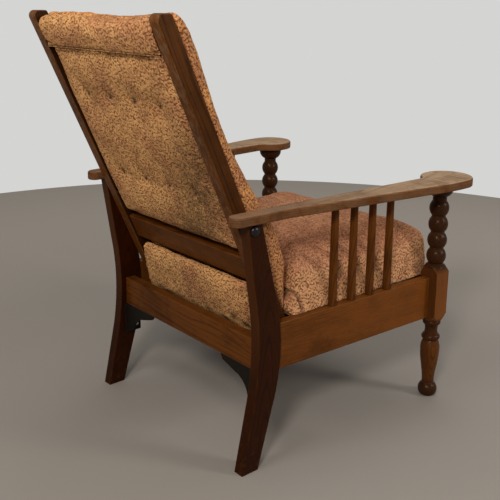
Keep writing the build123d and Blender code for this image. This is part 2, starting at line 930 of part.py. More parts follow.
def seat_runner():
    """A batten along the inside of the side rail, whose rear end stands up as the seat's stop."""
    front = half_square
    body = prism(
        [
            (rail_inner(front) - runner_width, front), (rail_inner(front), front),
            (rail_inner(runner_rear), runner_rear), (rail_inner(runner_rear) - runner_width, runner_rear),
        ],
        runner_top - runner_height, runner_top,
    )
    stop_front = seat_rear + running_gap
    body += prism(
        [
            (rail_inner(stop_front) - runner_width, stop_front), (rail_inner(stop_front), stop_front),
            (rail_inner(runner_rear), runner_rear), (rail_inner(runner_rear) - runner_width, runner_rear),
        ],
        runner_top, runner_top + stop_rise,
    )
    return body - pilot_holes(runner_screws(glue_gap))


def runner_screws(gap=0):
    return [
        screw(runner_screw_radius + gap, runner_screw_head + gap, runner_screw_length + gap, place, way)
        for place, way in runner_screw_places()
    ]


def seat_outer(depth):
    share = (depth - seat_front) / (seat_rear - seat_front)
    return between(seat_front_outer, seat_rear_outer, share)


def seat_side_member():
    front = seat_front + seat_member_thick
    rear = seat_rear - seat_member_thick
    return prism(
        [
            (seat_outer(front) - seat_member_thick, front), (seat_outer(front), front),
            (seat_outer(rear), rear), (seat_outer(rear) - seat_member_thick, rear),
        ],
        seat_frame_low, seat_frame_high,
    )


def seat_cross_member(front, rear):
    return prism(
        [
            (-seat_outer(front), front), (seat_outer(front), front),
            (seat_outer(rear), rear), (-seat_outer(rear), rear),
        ],
        seat_frame_low, seat_frame_high,
    )


def long_straps():
    """Webbing from front to rear, let into the undersides of the cross members."""
    inner_half = seat_rear_outer - seat_member_thick
    pitch = 2 * inner_half / strap_count
    low = seat_frame_low + strap_thick
    front = seat_front + seat_member_thick / 4
    rear = seat_rear - seat_member_thick / 4
    straps = []
    for index in range(strap_count):
        middle = (index - (strap_count - 1) / 2) * pitch
        straps.append(box(
            (middle - strap_width / 2, middle + strap_width / 2), (front, rear), (low, low + strap_thick)
        ))
    return straps


def cross_straps():
    """Webbing from side to side, let into the undersides of the side members."""
    pitch = (seat_rear - seat_front - 2 * seat_member_thick) / strap_count
    straps = []
    for index in range(strap_count):
        middle = seat_front + seat_member_thick + pitch / 2 + index * pitch
        end = seat_outer(middle) - seat_member_thick / 4
        straps.append(box(
            (-end, end), (middle - strap_width / 2, middle + strap_width / 2),
            (seat_frame_low, seat_frame_low + strap_thick),
        ))
    return straps


def housing(strap):
    """Room for a strap, open below."""
    room = strap.bounding_box()
    return box(
        (room.min.X - glue_gap, room.max.X + glue_gap), (room.min.Y - glue_gap, room.max.Y + glue_gap),
        (seat_frame_low - overrun, room.max.Z + glue_gap),
    )


def seat_members():
    """The four members of the seat frame by name."""
    front = seat_cross_member(seat_front, seat_front + seat_member_thick)
    rear = seat_cross_member(seat_rear - seat_member_thick, seat_rear)
    side = seat_side_member()
    for strap in long_straps():
        front -= housing(strap)
        rear -= housing(strap)
    for strap in cross_straps():
        side -= housing(strap)
    holes = pilot_holes(plate_screws(glue_gap))
    rear = rear - holes - mirrored(holes)
    return {
        "seat_front_member": front,
        "seat_rear_member": rear,
        "seat_side_member_left": side,
        "seat_side_member_right": mirrored(side),
    }


def seat_hessian():
    margin = overrun
    front = seat_front + margin
    rear = seat_rear - margin
    return prism(
        [
            (-seat_outer(front) + margin, front), (seat_outer(front) - margin, front),
            (seat_outer(rear) - margin, rear), (-seat_outer(rear) + margin, rear),
        ],
        seat_frame_high, cushion_low,
    )


def biarc(start, start_way, end, end_way):
    """Two arcs that leave one point along its direction and reach the other along its own."""
    span = end - start
    ways = start_way + end_way
    bend = 2 * (1 - start_way.dot(end_way))
    reach = (-span.dot(ways) + math.sqrt(span.dot(ways) ** 2 + bend * span.dot(span))) / bend
    first = start + start_way * reach
    second = end - end_way * reach
    middle = (first + second) * 0.5
    return [arc_to(start, first, middle), arc_to(middle, second, end)]


def arc_to(start, corner, end):
    """The arc whose end tangents meet at a corner."""
    chord_middle = (start + end) * 0.5
    half_chord = (end - start).length / 2
    turn = math.atan2((corner - chord_middle).length, half_chord)
    sagitta = half_chord * math.tan(turn / 2)
    return ThreePointArc(start, chord_middle + (corner - chord_middle).normalized() * sagitta, end)


def helix_point(angle, low, pitch):
    rise = pitch * angle / (2 * math.pi)
    return Vector(spring_radius * math.cos(angle), spring_radius * math.sin(angle), low + rise)


def helix_way(angle, pitch):
    climb = pitch / (2 * math.pi)
    return Vector(
        -spring_radius * math.sin(angle), spring_radius * math.cos(angle), climb
    ).normalized()


def seat_spring():
    """One upright coil, an unbroken wire of quarter turns."""
    low = seat_frame_low + 2 * strap_thick + spring_wire + soft_gap
    high = seat_frame_high - spring_wire - soft_gap
    pitch = (high - low) / spring_turns
    quarter = math.pi / 2
    arcs = []
    for index in range(4 * spring_turns):
        start, end = index * quarter, (index + 1) * quarter
        arcs += biarc(
            helix_point(start, low, pitch), helix_way(start, pitch),
            helix_point(end, low, pitch), helix_way(end, pitch),
        )
    path = Wire(arcs)
    print("seat spring: least gap between turns", round(pitch - 2 * spring_wire, 2))
    section = Plane(origin=path @ 0, z_dir=path % 0) * Circle(spring_wire)
    return sweep(section, path=path)


def seat_springs():
    coil = seat_spring()
    inner_half = seat_rear_outer - seat_member_thick
    across = 2 * inner_half / spring_rows
    along = (seat_rear - seat_front - 2 * seat_member_thick) / spring_rows
    coils = []
    for column in range(spring_rows):
        for row in range(spring_rows):
            x = (column - (spring_rows - 1) / 2) * across
            depth = seat_front + seat_member_thick + along / 2 + row * along
            coils.append(Pos(x, depth, 0) * coil)
    return coils


# Seat cushion

def cushion_rear(height):
    """The cushion's rear is cut back under its bulge, so that it clears the slotted plates."""
    share = min((height - cushion_low) / bulge_low_rise, 1)
    return between(cushion_rear_low, cushion_rear_high, share)


def cushion_outer(depth):
    share = (depth - cushion_front) / (cushion_rear_high - cushion_front)
    return between(cushion_front_outer, cushion_rear_outer, share)


def cushion_section(height, inset):
    """A rounded outline of the seat cushion at one height."""
    front, rear = cushion_front + inset, cushion_rear(height) - inset
    front_half, rear_half = cushion_outer(front) - inset, cushion_outer(rear) - inset
    near, far = front + cushion_front_corner, rear - cushion_rear_corner
    near_half, far_half = cushion_outer(near) - inset, cushion_outer(far) - inset
    front_cut = cushion_front_corner * corner_cut_share
    rear_cut = cushion_rear_corner * corner_cut_share
    left = [
        (front_half - cushion_front_corner, front),
        (near_half - front_cut, front + front_cut),
        (near_half, near),
        ((near_half + far_half) / 2 + cushion_bow, (near + far) / 2),
        (far_half, far),
        (rear_half - rear_cut, rear - rear_cut),
        (rear_half - cushion_rear_corner, rear),
    ]
    right = [(-x, depth) for x, depth in left]
    return Pos(0, 0, height) * Face(Wire([
        ThreePointArc(right[0], (0, front - cushion_bow), left[0]),
        ThreePointArc(*left[0:3]),
        ThreePointArc(*left[2:5]),
        ThreePointArc(*left[4:7]),
        Line(left[6], right[6]),
        ThreePointArc(*right[6:3:-1]),
        ThreePointArc(*right[4:1:-1]),
        ThreePointArc(*right[2::-1]),
    ]))


def seat_cushion():
    """A sprung seat cushion: drawn in at its base, full at its sides and domed on top."""
    sections = [
        cushion_section(cushion_low, cushion_draw),
        cushion_section(seat_bulge_low, bulge_low_draw),
        cushion_section(seat_bulge_mid, 0),
    ]
    for angle in dome_angles:
        turn = math.radians(angle)
        height = between(seat_shoulder, seat_top, math.sin(turn))
        sections.append(cushion_section(height, between(cushion_draw, dome_reach, 1 - math.cos(turn))))
    return loft(sections)


def seat_front_border():
    """The padded front edge, which covers the front member."""
    half = seat_outer(seat_front) - border_inset
    rear = seat_front - soft_gap
    front = rear - border_thick
    pad = box((-half, half), (front, rear), (seat_frame_low + running_gap, cushion_low - soft_gap))
    return fillet(pad.faces().sort_by(Axis.Y)[0].edges(), border_thick / 2)


# Cushions of the back, drawn upright about the pivot and then leaned

def pad_section(height, half, flat, thick, crown, drawn):
    """An outline across the back: flat on one side, with drawn-in ends and a crown on the other.

    A negative thickness faces the sitter."""
    way = 1 if thick > 0 else -1
    crest = flat + thick
    base = Line((-half + drawn, flat), (half - drawn, flat))
    widest = between(flat, crest, pad_widest_share)
    shoulder = half - 2 * drawn
    left = ThreePointArc(base @ 1, (half, widest), (shoulder, crest))
    face = ThreePointArc(left @ 1, (0, crest + way * crown), (-shoulder, crest))
    right = ThreePointArc(face @ 1, (-half, widest), base @ 0)
    return Pos(0, 0, height) * Face(Wire([base, left, face, right]))


# Shares of the back cushion's height, thickness and crown, from foot to head
back_cushion_shares = (
    (0.00, 0.14, 0.3),
    (0.07, 0.52, 0.7),
    (0.15, 0.96, 1.0),
    (0.26, 1.00, 1.0),
    (0.36, 0.84, 1.0),
    (0.45, 0.58, 1.0),
    (0.60, 0.40, 1.0),
    (0.74, 0.38, 1.0),
    (0.88, 0.54, 0.9),
    (0.96, 0.46, 0.6),
    (1.00, 0.20, 0.3),
)


def back_front_surface(x, height):
    """Where the front of the back cushion lies at one place."""
    place_share = (height - back_cushion_low) / (back_cushion_high - back_cushion_low)
    for (low, *start), (high, *end) in zip(back_cushion_shares, back_cushion_shares[1:]):
        if low <= place_share <= high:
            share = (place_share - low) / (high - low)
            thick_share, crown_share = [between(a, b, share) for a, b in zip(start, end)]
    across_share = x / (back_cushion_outer - 2 * back_cushion_draw)
    crown = back_cushion_crown * crown_share * (1 - across_share ** 2)
    return -half_stile - soft_gap - back_cushion_fullness * thick_share - crown


def dimples(radius, depth, surface, way):
    """Round hollows at the tufts, where surface gives how far back the face lies."""
    return [
        Pos(x, surface(x, height) + way * (radius - depth), height) * Sphere(radius)
        for x in tuft_columns for height in tuft_rows
    ]


def hollow_rise(dimple_radius, radius):
    """How far a dimple has risen from its lowest point at one radius."""
    return dimple_radius - math.sqrt(dimple_radius ** 2 - radius ** 2)


def back_cushion():
    flat = -half_stile - soft_gap
    sections = []
    for height_share, thick_share, crown_share in back_cushion_shares:
        height = between(back_cushion_low, back_cushion_high, height_share)
        sections.append(pad_section(
            height, back_cushion_outer, flat, -back_cushion_fullness * thick_share,
            back_cushion_crown * crown_share, back_cushion_draw,
        ))
    pad = loft(sections) - dimples(front_dimple_radius, front_dimple_depth, back_front_surface, -1)
    return on_back(pad)


def back_buttons():
    rise = hollow_rise(front_dimple_radius, button_radius) + soft_gap
    buttons = []
    for x in tuft_columns:
        for height in tuft_rows:
            surface = back_front_surface(x, height) + front_dimple_depth - rise
            button = rod(button_radius, (x, surface, height), (x, surface - button_height, height))
            rim = button.faces().sort_by(Axis.Y)[0].edges()
            buttons.append(on_back(fillet(rim, button_height / 2)))
    return buttons


# Height shares up the upper panel
upper_panel_shares = (0, 0.5, 1)

# Height share up the lower panel, then shares of its draw at the foot and of its bulge
lower_panel_shares = (
    (0.00, 1.00, 0.10),
    (0.20, 0.40, 0.55),
    (0.50, 0.12, 1.00),
    (0.85, 0.00, 0.70),
    (1.00, 0.00, 0.30),
)


def back_panel_upper():
    """The padded panel between the stiles above the cross rail."""
    flat = -half_stile + soft_gap
    half = stile_inner - panel_side_gap
    low = cross_rail_high + panel_rail_gap
    high = hood_low - soft_gap
    sections = [
        pad_section(between(low, high, share), half, flat, stile_size - soft_gap, panel_crown, overrun)
        for share in upper_panel_shares
    ]
    pad = loft(sections) - dimples(rear_dimple_radius, rear_dimple_depth, lambda x, height: half_stile, 1)
    return on_back(pad)


def back_panel_lower():
    """The full panel below the cross rail, which hides the bottom rail from behind."""
    flat = half_stile - top_rail_inset + soft_gap
    high = cross_rail_low - panel_rail_gap
    sections = []
    for height_share, draw_share, bulge_share in lower_panel_shares:
        half = stile_inner - panel_side_gap - panel_foot_draw * draw_share
        sections.append(pad_section(
            between(panel_foot, high, height_share), half, flat,
            panel_hem + panel_bulge * bulge_share, panel_crown, overrun,
        ))
    return on_back(loft(sections))


def back_hood():
    """The padded hood over the top rail, which ends in a hem behind."""
    rear = half_stile + hood_proud
    front = -half_stile + soft_gap
    rail_rear = half_stile - top_rail_inset + soft_gap
    under = top_rail_high + soft_gap
    round_size = hood_proud + hood_thick
    outline = Curve() + [
        Line((rail_rear, hood_low), (rear, hood_low)),
        Line((rear, hood_low), (rear, hood_high - round_size)),
        ThreePointArc(
            (rear, hood_high - round_size),
            (rear - round_size * corner_cut_share, hood_high - round_size * corner_cut_share),
            (rear - round_size, hood_high),
        ),
        Line((rear - round_size, hood_high), (front, hood_high)),
        Line((front, hood_high), (front, under)),
        Line((front, under), (rail_rear, under)),
        Line((rail_rear, under), (rail_rear, hood_low)),
    ]
    half = stile_inner - panel_side_gap
    return on_back(side_prism(outline, -half, half))


def tuft_ties():
    """The stitched knots in the rear dimples."""
    surface = half_stile - rear_dimple_depth + hollow_rise(rear_dimple_radius, tie_radius) + soft_gap
    return [
        on_back(rod(tie_radius, (x, surface, height), (x, surface + tie_height, height)))
        for x in tuft_columns for height in tuft_rows
    ]


# Files

def save(name, *solids):
    moved = [Pos(0, front_axis_y, 0) * solid for solid in solids]
    shape = moved[0] if len(moved) == 1 else Compound(children=moved)
    export_step(shape, f"parts/{name}.step")


def save_pair(name, shape):
    save(f"{name}_left", shape)
    save(f"{name}_right", mirrored(shape))


def save_group(name, shapes):
    """Identical pieces of both sides in one file."""
    save(name, *shapes, *[mirrored(shape) for shape in shapes])


def main():
    os.makedirs("parts", exist_ok=True)
    pairs = {
        "rear_leg": rear_leg, "front_leg": front_leg, "arm": arm, "side_rail": side_rail,
        "corner_bracket": corner_bracket, "seat_runner": seat_runner, "pivot_bolt": pivot_bolt,
        "back_stile": back_stile, "slot_plate": slot_plate,
    }
    for name, make in pairs.items():
        save_pair(name, make())
    for index in range(spindle_count):
        save_pair(f"arm_spindle_{index + 1}", spindle(index))
    save("rear_rail", rear_rail())
    save("front_rail", front_rail())
    save_group("bracket_screws", bracket_screws())
    save_group("runner_screws", runner_screws())
    save_group("plate_screws", plate_screws())
    save_group("pivot_spacers", [pivot_spacer()])
    save_group("pivot_nut_washers", [pivot_nut_washer()])
    save_group("pivot_nuts", [pivot_nut()])
    save_group("slot_pins", [slot_pin()])
    save_group("slot_pin_washers", [slot_pin_washer()])
    for name, (low, high, inset) in back_rails.items():
        save(name, on_back(back_rail(low, high, inset)))
    for name, member in seat_members().items():
        save(name, member)
    save("seat_webbing_long", *long_straps())
    save("seat_webbing_cross", *cross_straps())
    save("seat_springs", *seat_springs())
    save("seat_hessian", seat_hessian())
    save("seat_cushion", seat_cushion())
    save("seat_front_border", seat_front_border())
    save("back_cushion", back_cushion())
    save("back_buttons", *back_buttons())
    save("back_panel_upper", back_panel_upper())
    save("back_panel_lower", back_panel_lower())
    save("back_hood", back_hood())
    save("tuft_ties", *tuft_ties())


main()
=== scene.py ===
import json
import math

import bmesh
import bpy
import numpy as np
from bpy.props import FloatProperty, FloatVectorProperty, IntProperty, PointerProperty
from mathutils import Euler, Matrix, Vector, noise


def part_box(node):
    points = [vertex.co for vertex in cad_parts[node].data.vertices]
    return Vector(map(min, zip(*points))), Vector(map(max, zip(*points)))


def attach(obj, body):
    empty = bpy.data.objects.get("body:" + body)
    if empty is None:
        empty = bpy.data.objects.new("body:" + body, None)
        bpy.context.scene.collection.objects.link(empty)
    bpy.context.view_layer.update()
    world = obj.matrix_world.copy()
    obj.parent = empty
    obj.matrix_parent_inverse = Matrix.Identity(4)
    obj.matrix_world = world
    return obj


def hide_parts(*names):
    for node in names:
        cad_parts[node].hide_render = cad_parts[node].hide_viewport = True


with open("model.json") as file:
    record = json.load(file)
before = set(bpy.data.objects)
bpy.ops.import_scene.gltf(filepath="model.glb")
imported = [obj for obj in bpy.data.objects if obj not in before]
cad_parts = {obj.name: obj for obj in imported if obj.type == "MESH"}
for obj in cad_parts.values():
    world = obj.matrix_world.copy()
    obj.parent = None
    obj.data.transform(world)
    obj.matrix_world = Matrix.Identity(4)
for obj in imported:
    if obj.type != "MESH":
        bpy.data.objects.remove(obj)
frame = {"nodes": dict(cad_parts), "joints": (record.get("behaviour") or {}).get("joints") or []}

bl_info = {
    "name": "Reclining Armchair",
    "version": (1, 0, 0),
    "blender": (4, 5, 0),
    "location": "View3D > Sidebar > Armchair",
    "description": "Upholsters and finishes an oak reclining armchair",
    "category": "Object",
}

MM = 0.001
NODES = frame["nodes"]
RECLINE = next(joint for joint in frame["joints"] if joint["name"] == "recline")
SLIDE = next(joint for joint in frame["joints"] if joint["name"] == "seat_slide")
PIVOT = Vector(RECLINE["pos_m"])
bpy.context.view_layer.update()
SIDES = (("left", 1), ("right", -1))


# Settings

def colour_setting(name, description, default):
    return FloatVectorProperty(
        name=name, description=description, subtype="COLOR", min=0, max=1, default=default,
    )


def length_setting(name, description, low, high, default):
    return FloatProperty(
        name=name, description=description, unit="LENGTH", min=low, max=high, default=default,
    )


def angle_setting(name, description, degrees, **limits):
    return FloatProperty(
        name=name, description=description, subtype="ANGLE", default=math.radians(degrees), **limits,
    )


class FabricSettings(bpy.types.PropertyGroup):
    ground: colour_setting("Ground", "Colour of the golden pile", (0.585, 0.288, 0.103))
    pale: colour_setting("Pale pile", "Colour of the worn tips of the pile", (0.80, 0.47, 0.20))
    rust: colour_setting("Rust", "Colour of the reddish patches", (0.30, 0.095, 0.045))
    rose: colour_setting("Rose", "Ground colour of the seat", (0.31, 0.100, 0.062))
    squiggle: colour_setting("Squiggle", "Colour of the fine winding lines", (0.105, 0.030, 0.010))
    squiggle_pitch: length_setting("Squiggle pitch", "Spacing of the winding lines", 0.002, 0.05, 0.0078)
    # The darkest colour of the cover: real fraying and soiling, and painted shade in folds, tufts, tucks,
    # under the hem and low on the back
    soil_and_shade: colour_setting("Soil", "Colour of the frayed and soiled parts", (0.035, 0.022, 0.007))
    pile_depth: length_setting("Pile depth", "Height of the pile", 0, 0.01, 0.0012)


class PaddingSettings(bpy.types.PropertyGroup):
    voxel: length_setting("Voxel", "Mesh size of the padded pieces before they swell", 0.003, 0.02, 0.006)
    pressure: FloatProperty(
        name="Pressure", description="Air pressure that swells a padded piece", min=0, max=20, default=4,
    )
    frames: IntProperty(
        name="Frames", description="Frames for which a padded piece swells", min=1, max=60, default=20,
    )
    back_lean: angle_setting("Back lean", "Lean of the back from upright", 24.3, min=0, max=1.2)
    seat_swell: length_setting("Seat swell", "Most that the seat cushion swells", 0, 0.05, 0.022)
    back_swell: length_setting("Back swell", "Most that the back cushion swells", 0, 0.05, 0.022)
    panel_swell: length_setting("Panel swell", "Most that the rear panels swell", 0, 0.05, 0.009)
    tuft_radius: length_setting("Tuft radius", "Reach of a tuft's hollow", 0.005, 0.1, 0.03)


class WoodSettings(bpy.types.PropertyGroup):
    light: colour_setting("Light oak", "Light colour of the polished oak", (0.106, 0.0315, 0.0045))
    dark: colour_setting("Dark oak", "Colour of the dark grain", (0.020, 0.0050, 0.0010))
    turned: colour_setting("Turned oak", "Colour of the dark polish on the bobbins", (0.022, 0.0085, 0.0045))
    worn: colour_setting("Worn oak", "Colour of bare worn wood", (0.41, 0.275, 0.165))
    rubbed: colour_setting("Rubbed oak", "Colour of the rubbed edges", (0.165, 0.064, 0.017))
    ring_pitch: length_setting("Ring pitch", "Spacing of the growth rings", 0.001, 0.05, 0.0042)
    edge_radius: length_setting("Edge radius", "Reach of the wear along edges", 0.0005, 0.02, 0.003)


class StageSettings(bpy.types.PropertyGroup):
    camera_place: FloatVectorProperty(
        name="Camera place", description="Where the camera stands", subtype="TRANSLATION",
        default=(-1.4092, 1.2360, 0.9968),
    )
    camera_heading: angle_setting("Camera heading", "Turn of the view about the upright", -129.752)
    camera_pitch: angle_setting("Camera pitch", "How far the camera looks down", 13.646)
    camera_roll: angle_setting("Camera roll", "Turn of the camera about its view", 0.15)
    lens: FloatProperty(
        name="Lens", description="Focal length in millimetres", min=10, max=300, default=56.625,
    )
    shift: FloatVectorProperty(
        name="Shift", description="Shift of the lens to the right and upwards", size=2,
        min=-1, max=1, default=(0.046, -0.12),
    )
    floor: colour_setting("Floor", "Colour of the floor", (0.265, 0.236, 0.205))
    backdrop: colour_setting("Backdrop", "Colour behind the chair", (0.66, 0.66, 0.65))


class ArmchairSettings(bpy.types.PropertyGroup):
    fabric: PointerProperty(type=FabricSettings)
    padding: PointerProperty(type=PaddingSettings)
    wood: PointerProperty(type=WoodSettings)
    stage: PointerProperty(type=StageSettings)


def settings():
    return bpy.context.scene.armchair


# Places on the chair

def on_back(across, behind, up):
    """A place given about the pivot and along the leaning back."""
    lean = settings().padding.back_lean
    return Vector((
        across,
        PIVOT.y + behind * math.cos(lean) + up * math.sin(lean),
        PIVOT.z - behind * math.sin(lean) + up * math.cos(lean),
    ))


def from_back(point):
    """The way across, behind and up the leaning back of a place."""
    lean = settings().padding.back_lean
    depth, height = point[1] - PIVOT.y, point[2] - PIVOT.z
    return (
        point[0],
        depth * math.cos(lean) - height * math.sin(lean),
        depth * math.sin(lean) + height * math.cos(lean),
    )


def push_of(sign):
    """The direction straight behind the leaning back, or in front of it for a sign of -1."""
    return on_back(0, sign, 0) - on_back(0, 0, 0)


def box_on_back(node):
    """Lowest and highest of a node's places along the leaning back."""
    places = np.array([from_back(vertex.co) for vertex in NODES[node].data.vertices])
    return places.min(0), places.max(0)


def solids_of(node):
    """The places of each solid in a node."""
    mesh = bmesh.new()
    mesh.from_mesh(NODES[node].data)
    bmesh.ops.remove_doubles(mesh, verts=mesh.verts[:], dist=0.01 * MM)
    left, solids = dict.fromkeys(mesh.verts), []
    while left:
        stack, places = [left.popitem()[0]], []
        while stack:
            vertex = stack.pop()
            places.append(tuple(vertex.co))
            for edge in vertex.link_edges:
                other = edge.other_vert(vertex)
                if other in left:
                    del left[other]
                    stack.append(other)
        solids.append(np.array(places))
    mesh.free()
    return solids


def boxes_of(node, turned=False):
    """Lowest and highest corner of each solid in a node, turned to the leaning back or not."""
    boxes = []
    for places in solids_of(node):
        if turned:
            places = np.array([from_back(place) for place in places])
        boxes.append((places.min(0), places.max(0)))
    return boxes


def half_widths(node, reach):
    """Half the width of a tapered seat piece at its widest, and within reach of its rear edge."""
    places = [vertex.co for vertex in NODES[node].data.vertices]
    rear = max(place.y for place in places)
    return max(place.x for place in places), max(place.x for place in places if place.y > rear - reach)


def smooth_step(low, high, value):
    share = min(max((value - low) / (high - low), 0.0), 1.0)
    return share * share * (3 - 2 * share)


def from_table(table, share):
    """A value between the rows of a table of (place, value)."""
    places, values = zip(*table)
    return float(np.interp(share, places, values))


# Making padded pieces

# Settings of the cloth while a padded piece swells
CLOTH = {
    "quality": 5, "mass": 0.3, "tension_stiffness": 15, "compression_stiffness": 15,
    "shear_stiffness": 5, "bending_stiffness": 0.6, "use_pressure": True,
}
# A share too small to matter, against dividing by nothing
TINY = 1e-6


def rounded_box(cuts, half, corners, under, over):
    """A box from -1 to 1 with real radii.

    under and over are those of its lower and upper edges. corners holds those of its first and
    its last corners in plan.
    """
    mesh = bmesh.new()
    bmesh.ops.create_cube(mesh, size=2)
    bmesh.ops.subdivide_edges(mesh, edges=mesh.edges[:], cuts=cuts, use_grid_fill=True)
    width, length, height = half
    short = min(width, length)
    eighth = math.pi / 4
    for vertex in mesh.verts:
        across, along, through = vertex.co
        edge = over if through > 0 else under
        ring = max(abs(across), abs(along), TINY)
        level = abs(through) * height
        inset, shrink = 0.0, 1.0
        if abs(through) < 1 - TINY:
            rise = (level - height + edge) / edge
            if rise > 0:
                inset = edge * (1 - math.cos(rise * eighth))
                level = height - edge + edge * math.sin(rise * eighth)
        else:
            run = (1 - ring) * short / edge
            turn = eighth * (1 + min(run, 1))
            inset = edge * (1 - math.cos(turn))
            level = height - edge + edge * math.sin(turn)
            if run > 1:
                shrink = ring / (1 - edge / short)
        wide, long = (width - inset) * shrink, (length - inset) * shrink
        radius = max(corners[along > 0] - inset, 0.5 * MM) * shrink
        x, y = across / ring * wide, along / ring * long
        near_x = max(min(x, wide - radius), radius - wide)
        near_y = max(min(y, long - radius), radius - long)
        if x != near_x and y != near_y:
            reach = math.hypot(x - near_x, y - near_y)
            x = near_x + (x - near_x) / reach * radius
            y = near_y + (y - near_y) / reach * radius
        vertex.co = (x / width, y / length, math.copysign(level / height, through))
    return mesh


def piece_from(mesh, name):
    """Turns a bmesh into an object of the scene."""
    bmesh.ops.recalc_face_normals(mesh, faces=mesh.faces[:])
    data = bpy.data.meshes.new(name)
    mesh.to_mesh(data)
    mesh.free()
    piece = bpy.data.objects.new(name, data)
    bpy.context.scene.collection.objects.link(piece)
    for face in data.polygons:
        face.use_smooth = True
    return piece


def places_of(data):
    places = np.empty(len(data.vertices) * 3)
    data.vertices.foreach_get("co", places)
    return places.reshape(-1, 3)


def set_places(data, places):
    data.vertices.foreach_set("co", places.astype(np.float32).ravel())
    data.update()


def apply_modifiers(piece):
    """Puts what the modifiers make into the mesh, and removes them."""
    graph = bpy.context.evaluated_depsgraph_get()
    made = bpy.data.meshes.new_from_object(piece.evaluated_get(graph))
    old = piece.data
    piece.modifiers.clear()
    piece.data = made
    bpy.data.meshes.remove(old)
    for face in made.polygons:
        face.use_smooth = True


def remesh(piece, voxel):
    modifier = piece.modifiers.new("Remesh", "REMESH")
    modifier.mode = "VOXEL"
    modifier.voxel_size = voxel
    modifier.use_smooth_shade = True
    apply_modifiers(piece)


def relax(piece, rounds):
    """Evens out the steps that a voxel mesh leaves."""
    mesh = bmesh.new()
    mesh.from_mesh(piece.data)
    for _ in range(rounds):
        bmesh.ops.smooth_vert(
            mesh, verts=mesh.verts[:], factor=0.5, use_axis_x=True, use_axis_y=True, use_axis_z=True
        )
    mesh.to_mesh(piece.data)
    mesh.free()


def swell(piece, held, caps, turn):
    """Lets a padded piece swell under pressure.

    It is held where held() says. It moves no more than a cap along each of the three ways in turn.
    """
    padding = settings().padding
    rest = places_of(piece.data)
    pinned = piece.vertex_groups.new(name="held")
    for index, place in enumerate(rest):
        pinned.add([index], held(place), "REPLACE")
    cloth = piece.modifiers.new("Cloth", "CLOTH")
    for name, value in CLOTH.items():
        setattr(cloth.settings, name, value)
    cloth.settings.uniform_pressure_force = padding.pressure
    cloth.settings.vertex_group_mass = pinned.name
    cloth.settings.effector_weights.gravity = 0
    cloth.point_cache.frame_start = 1
    cloth.point_cache.frame_end = padding.frames
    for number in range(1, padding.frames + 1):
        bpy.context.scene.frame_set(number)
    graph = bpy.context.evaluated_depsgraph_get()
    swollen = places_of(piece.evaluated_get(graph).to_mesh())
    caps = np.array(caps)
    capped = caps * np.tanh((swollen - rest) @ turn / caps)
    piece.modifiers.clear()
    piece.vertex_groups.clear()
    set_places(piece.data, rest + capped @ turn.T)
    bpy.context.scene.frame_set(1)


def subdivide(piece):
    modifier = piece.modifiers.new("Subdivision", "SUBSURF")
    modifier.levels = modifier.render_levels = 1
    apply_modifiers(piece)


def away_from(places, start, end):
    """How far each place is from the straight run between two points."""
    start, run = np.array(start), np.array(end) - np.array(start)
    share = np.clip((places - start) @ run / max(run @ run, 1e-12), 0, 1)
    return np.linalg.norm(places - start - share[:, None] * run, axis=1)


def dent(piece, hollows):
    """Presses creases into a piece. Each is a start, an end, a direction, a reach and a depth."""
    places = places_of(piece.data)
    for start, end, direction, reach, depth in hollows:
        pressed = depth * np.exp(-(away_from(places, start, end) / reach) ** 2)
        places += np.array(direction) * pressed[:, None]
    set_places(piece.data, places)


def mark(piece, marks):
    """Notes where a cover is soiled or painted with shade. Each mark is a start, an end, a reach and a
    strength.
    """
    places = places_of(piece.data)
    soil_and_shade = np.zeros(len(places))
    for start, end, reach, strength in marks:
        soil_and_shade = np.maximum(soil_and_shade, strength * np.exp(-(away_from(places, start, end) / reach) ** 2))
    write_soil_and_shade(piece, soil_and_shade)


def write_soil_and_shade(piece, soil_and_shade):
    layer = piece.data.attributes.new("soil_and_shade", "FLOAT", "POINT")
    layer.data.foreach_set("value", soil_and_shade.astype(np.float32))


def pad(name, mesh, held, caps, turn, voxel=None):
    """A stuffed piece from its starting shape, with one subdivision."""
    piece = piece_from(mesh, name)
    remesh(piece, voxel or settings().padding.voxel)
    relax(piece, 2)
    swell(piece, held, caps, turn)
    relax(piece, 1)
    subdivide(piece)
    return piece


# Upholstery

def spread(value, low, high):
    """Takes -1 to 1 to a low and a high end."""
    return low + (high - low) * (value + 1) / 2


def back_axes():
    """The ways across, behind and up the leaning back, as columns."""
    lean = settings().padding.back_lean
    return np.array([
        [1, 0, 0],
        [0, math.cos(lean), math.sin(lean)],
        [0, -math.sin(lean), math.cos(lean)],
    ])


def finish_cover(piece, material, body, nodes):
    piece.data.materials.append(material)
    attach(piece, body)
    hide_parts(*nodes)


def wrinkle(piece, *rounds):
    """Fine unevenness of stuffed cloth. Each round is a height and a size in millimetres, and a seed."""
    for height, size, seed in rounds:
        places = places_of(piece.data)
        normals = np.empty(len(places) * 3)
        piece.data.vertices.foreach_get("normal", normals)
        normals = normals.reshape(-1, 3)
        push = [noise.noise(Vector(place) / (size * MM) + Vector((seed, 0, 0))) for place in places]
        set_places(piece.data, places + normals * (height * MM * np.array(push))[:, None])


def hold_to(piece, level, choose):
    """Flattens what would pass a level of the back. choose is min to stay in front, or max to stay behind."""
    places = map(from_back, places_of(piece.data))
    moved = [on_back(across, choose(behind, level), up) for across, behind, up in places]
    set_places(piece.data, np.array(moved))


# Up the seat cushion's rear: height share, and millimetres behind the CAD piece
SEAT_REAR = ((0.0, 8), (0.22, 12), (0.42, 6), (0.60, -4), (1.0, -5))
# Height in millimetres over the cushion's foot, and how far in from its rear edge, of the fold at each side
SEAT_FOLD = ((46, -12), (60, -2), (46, 9), (16, 16))


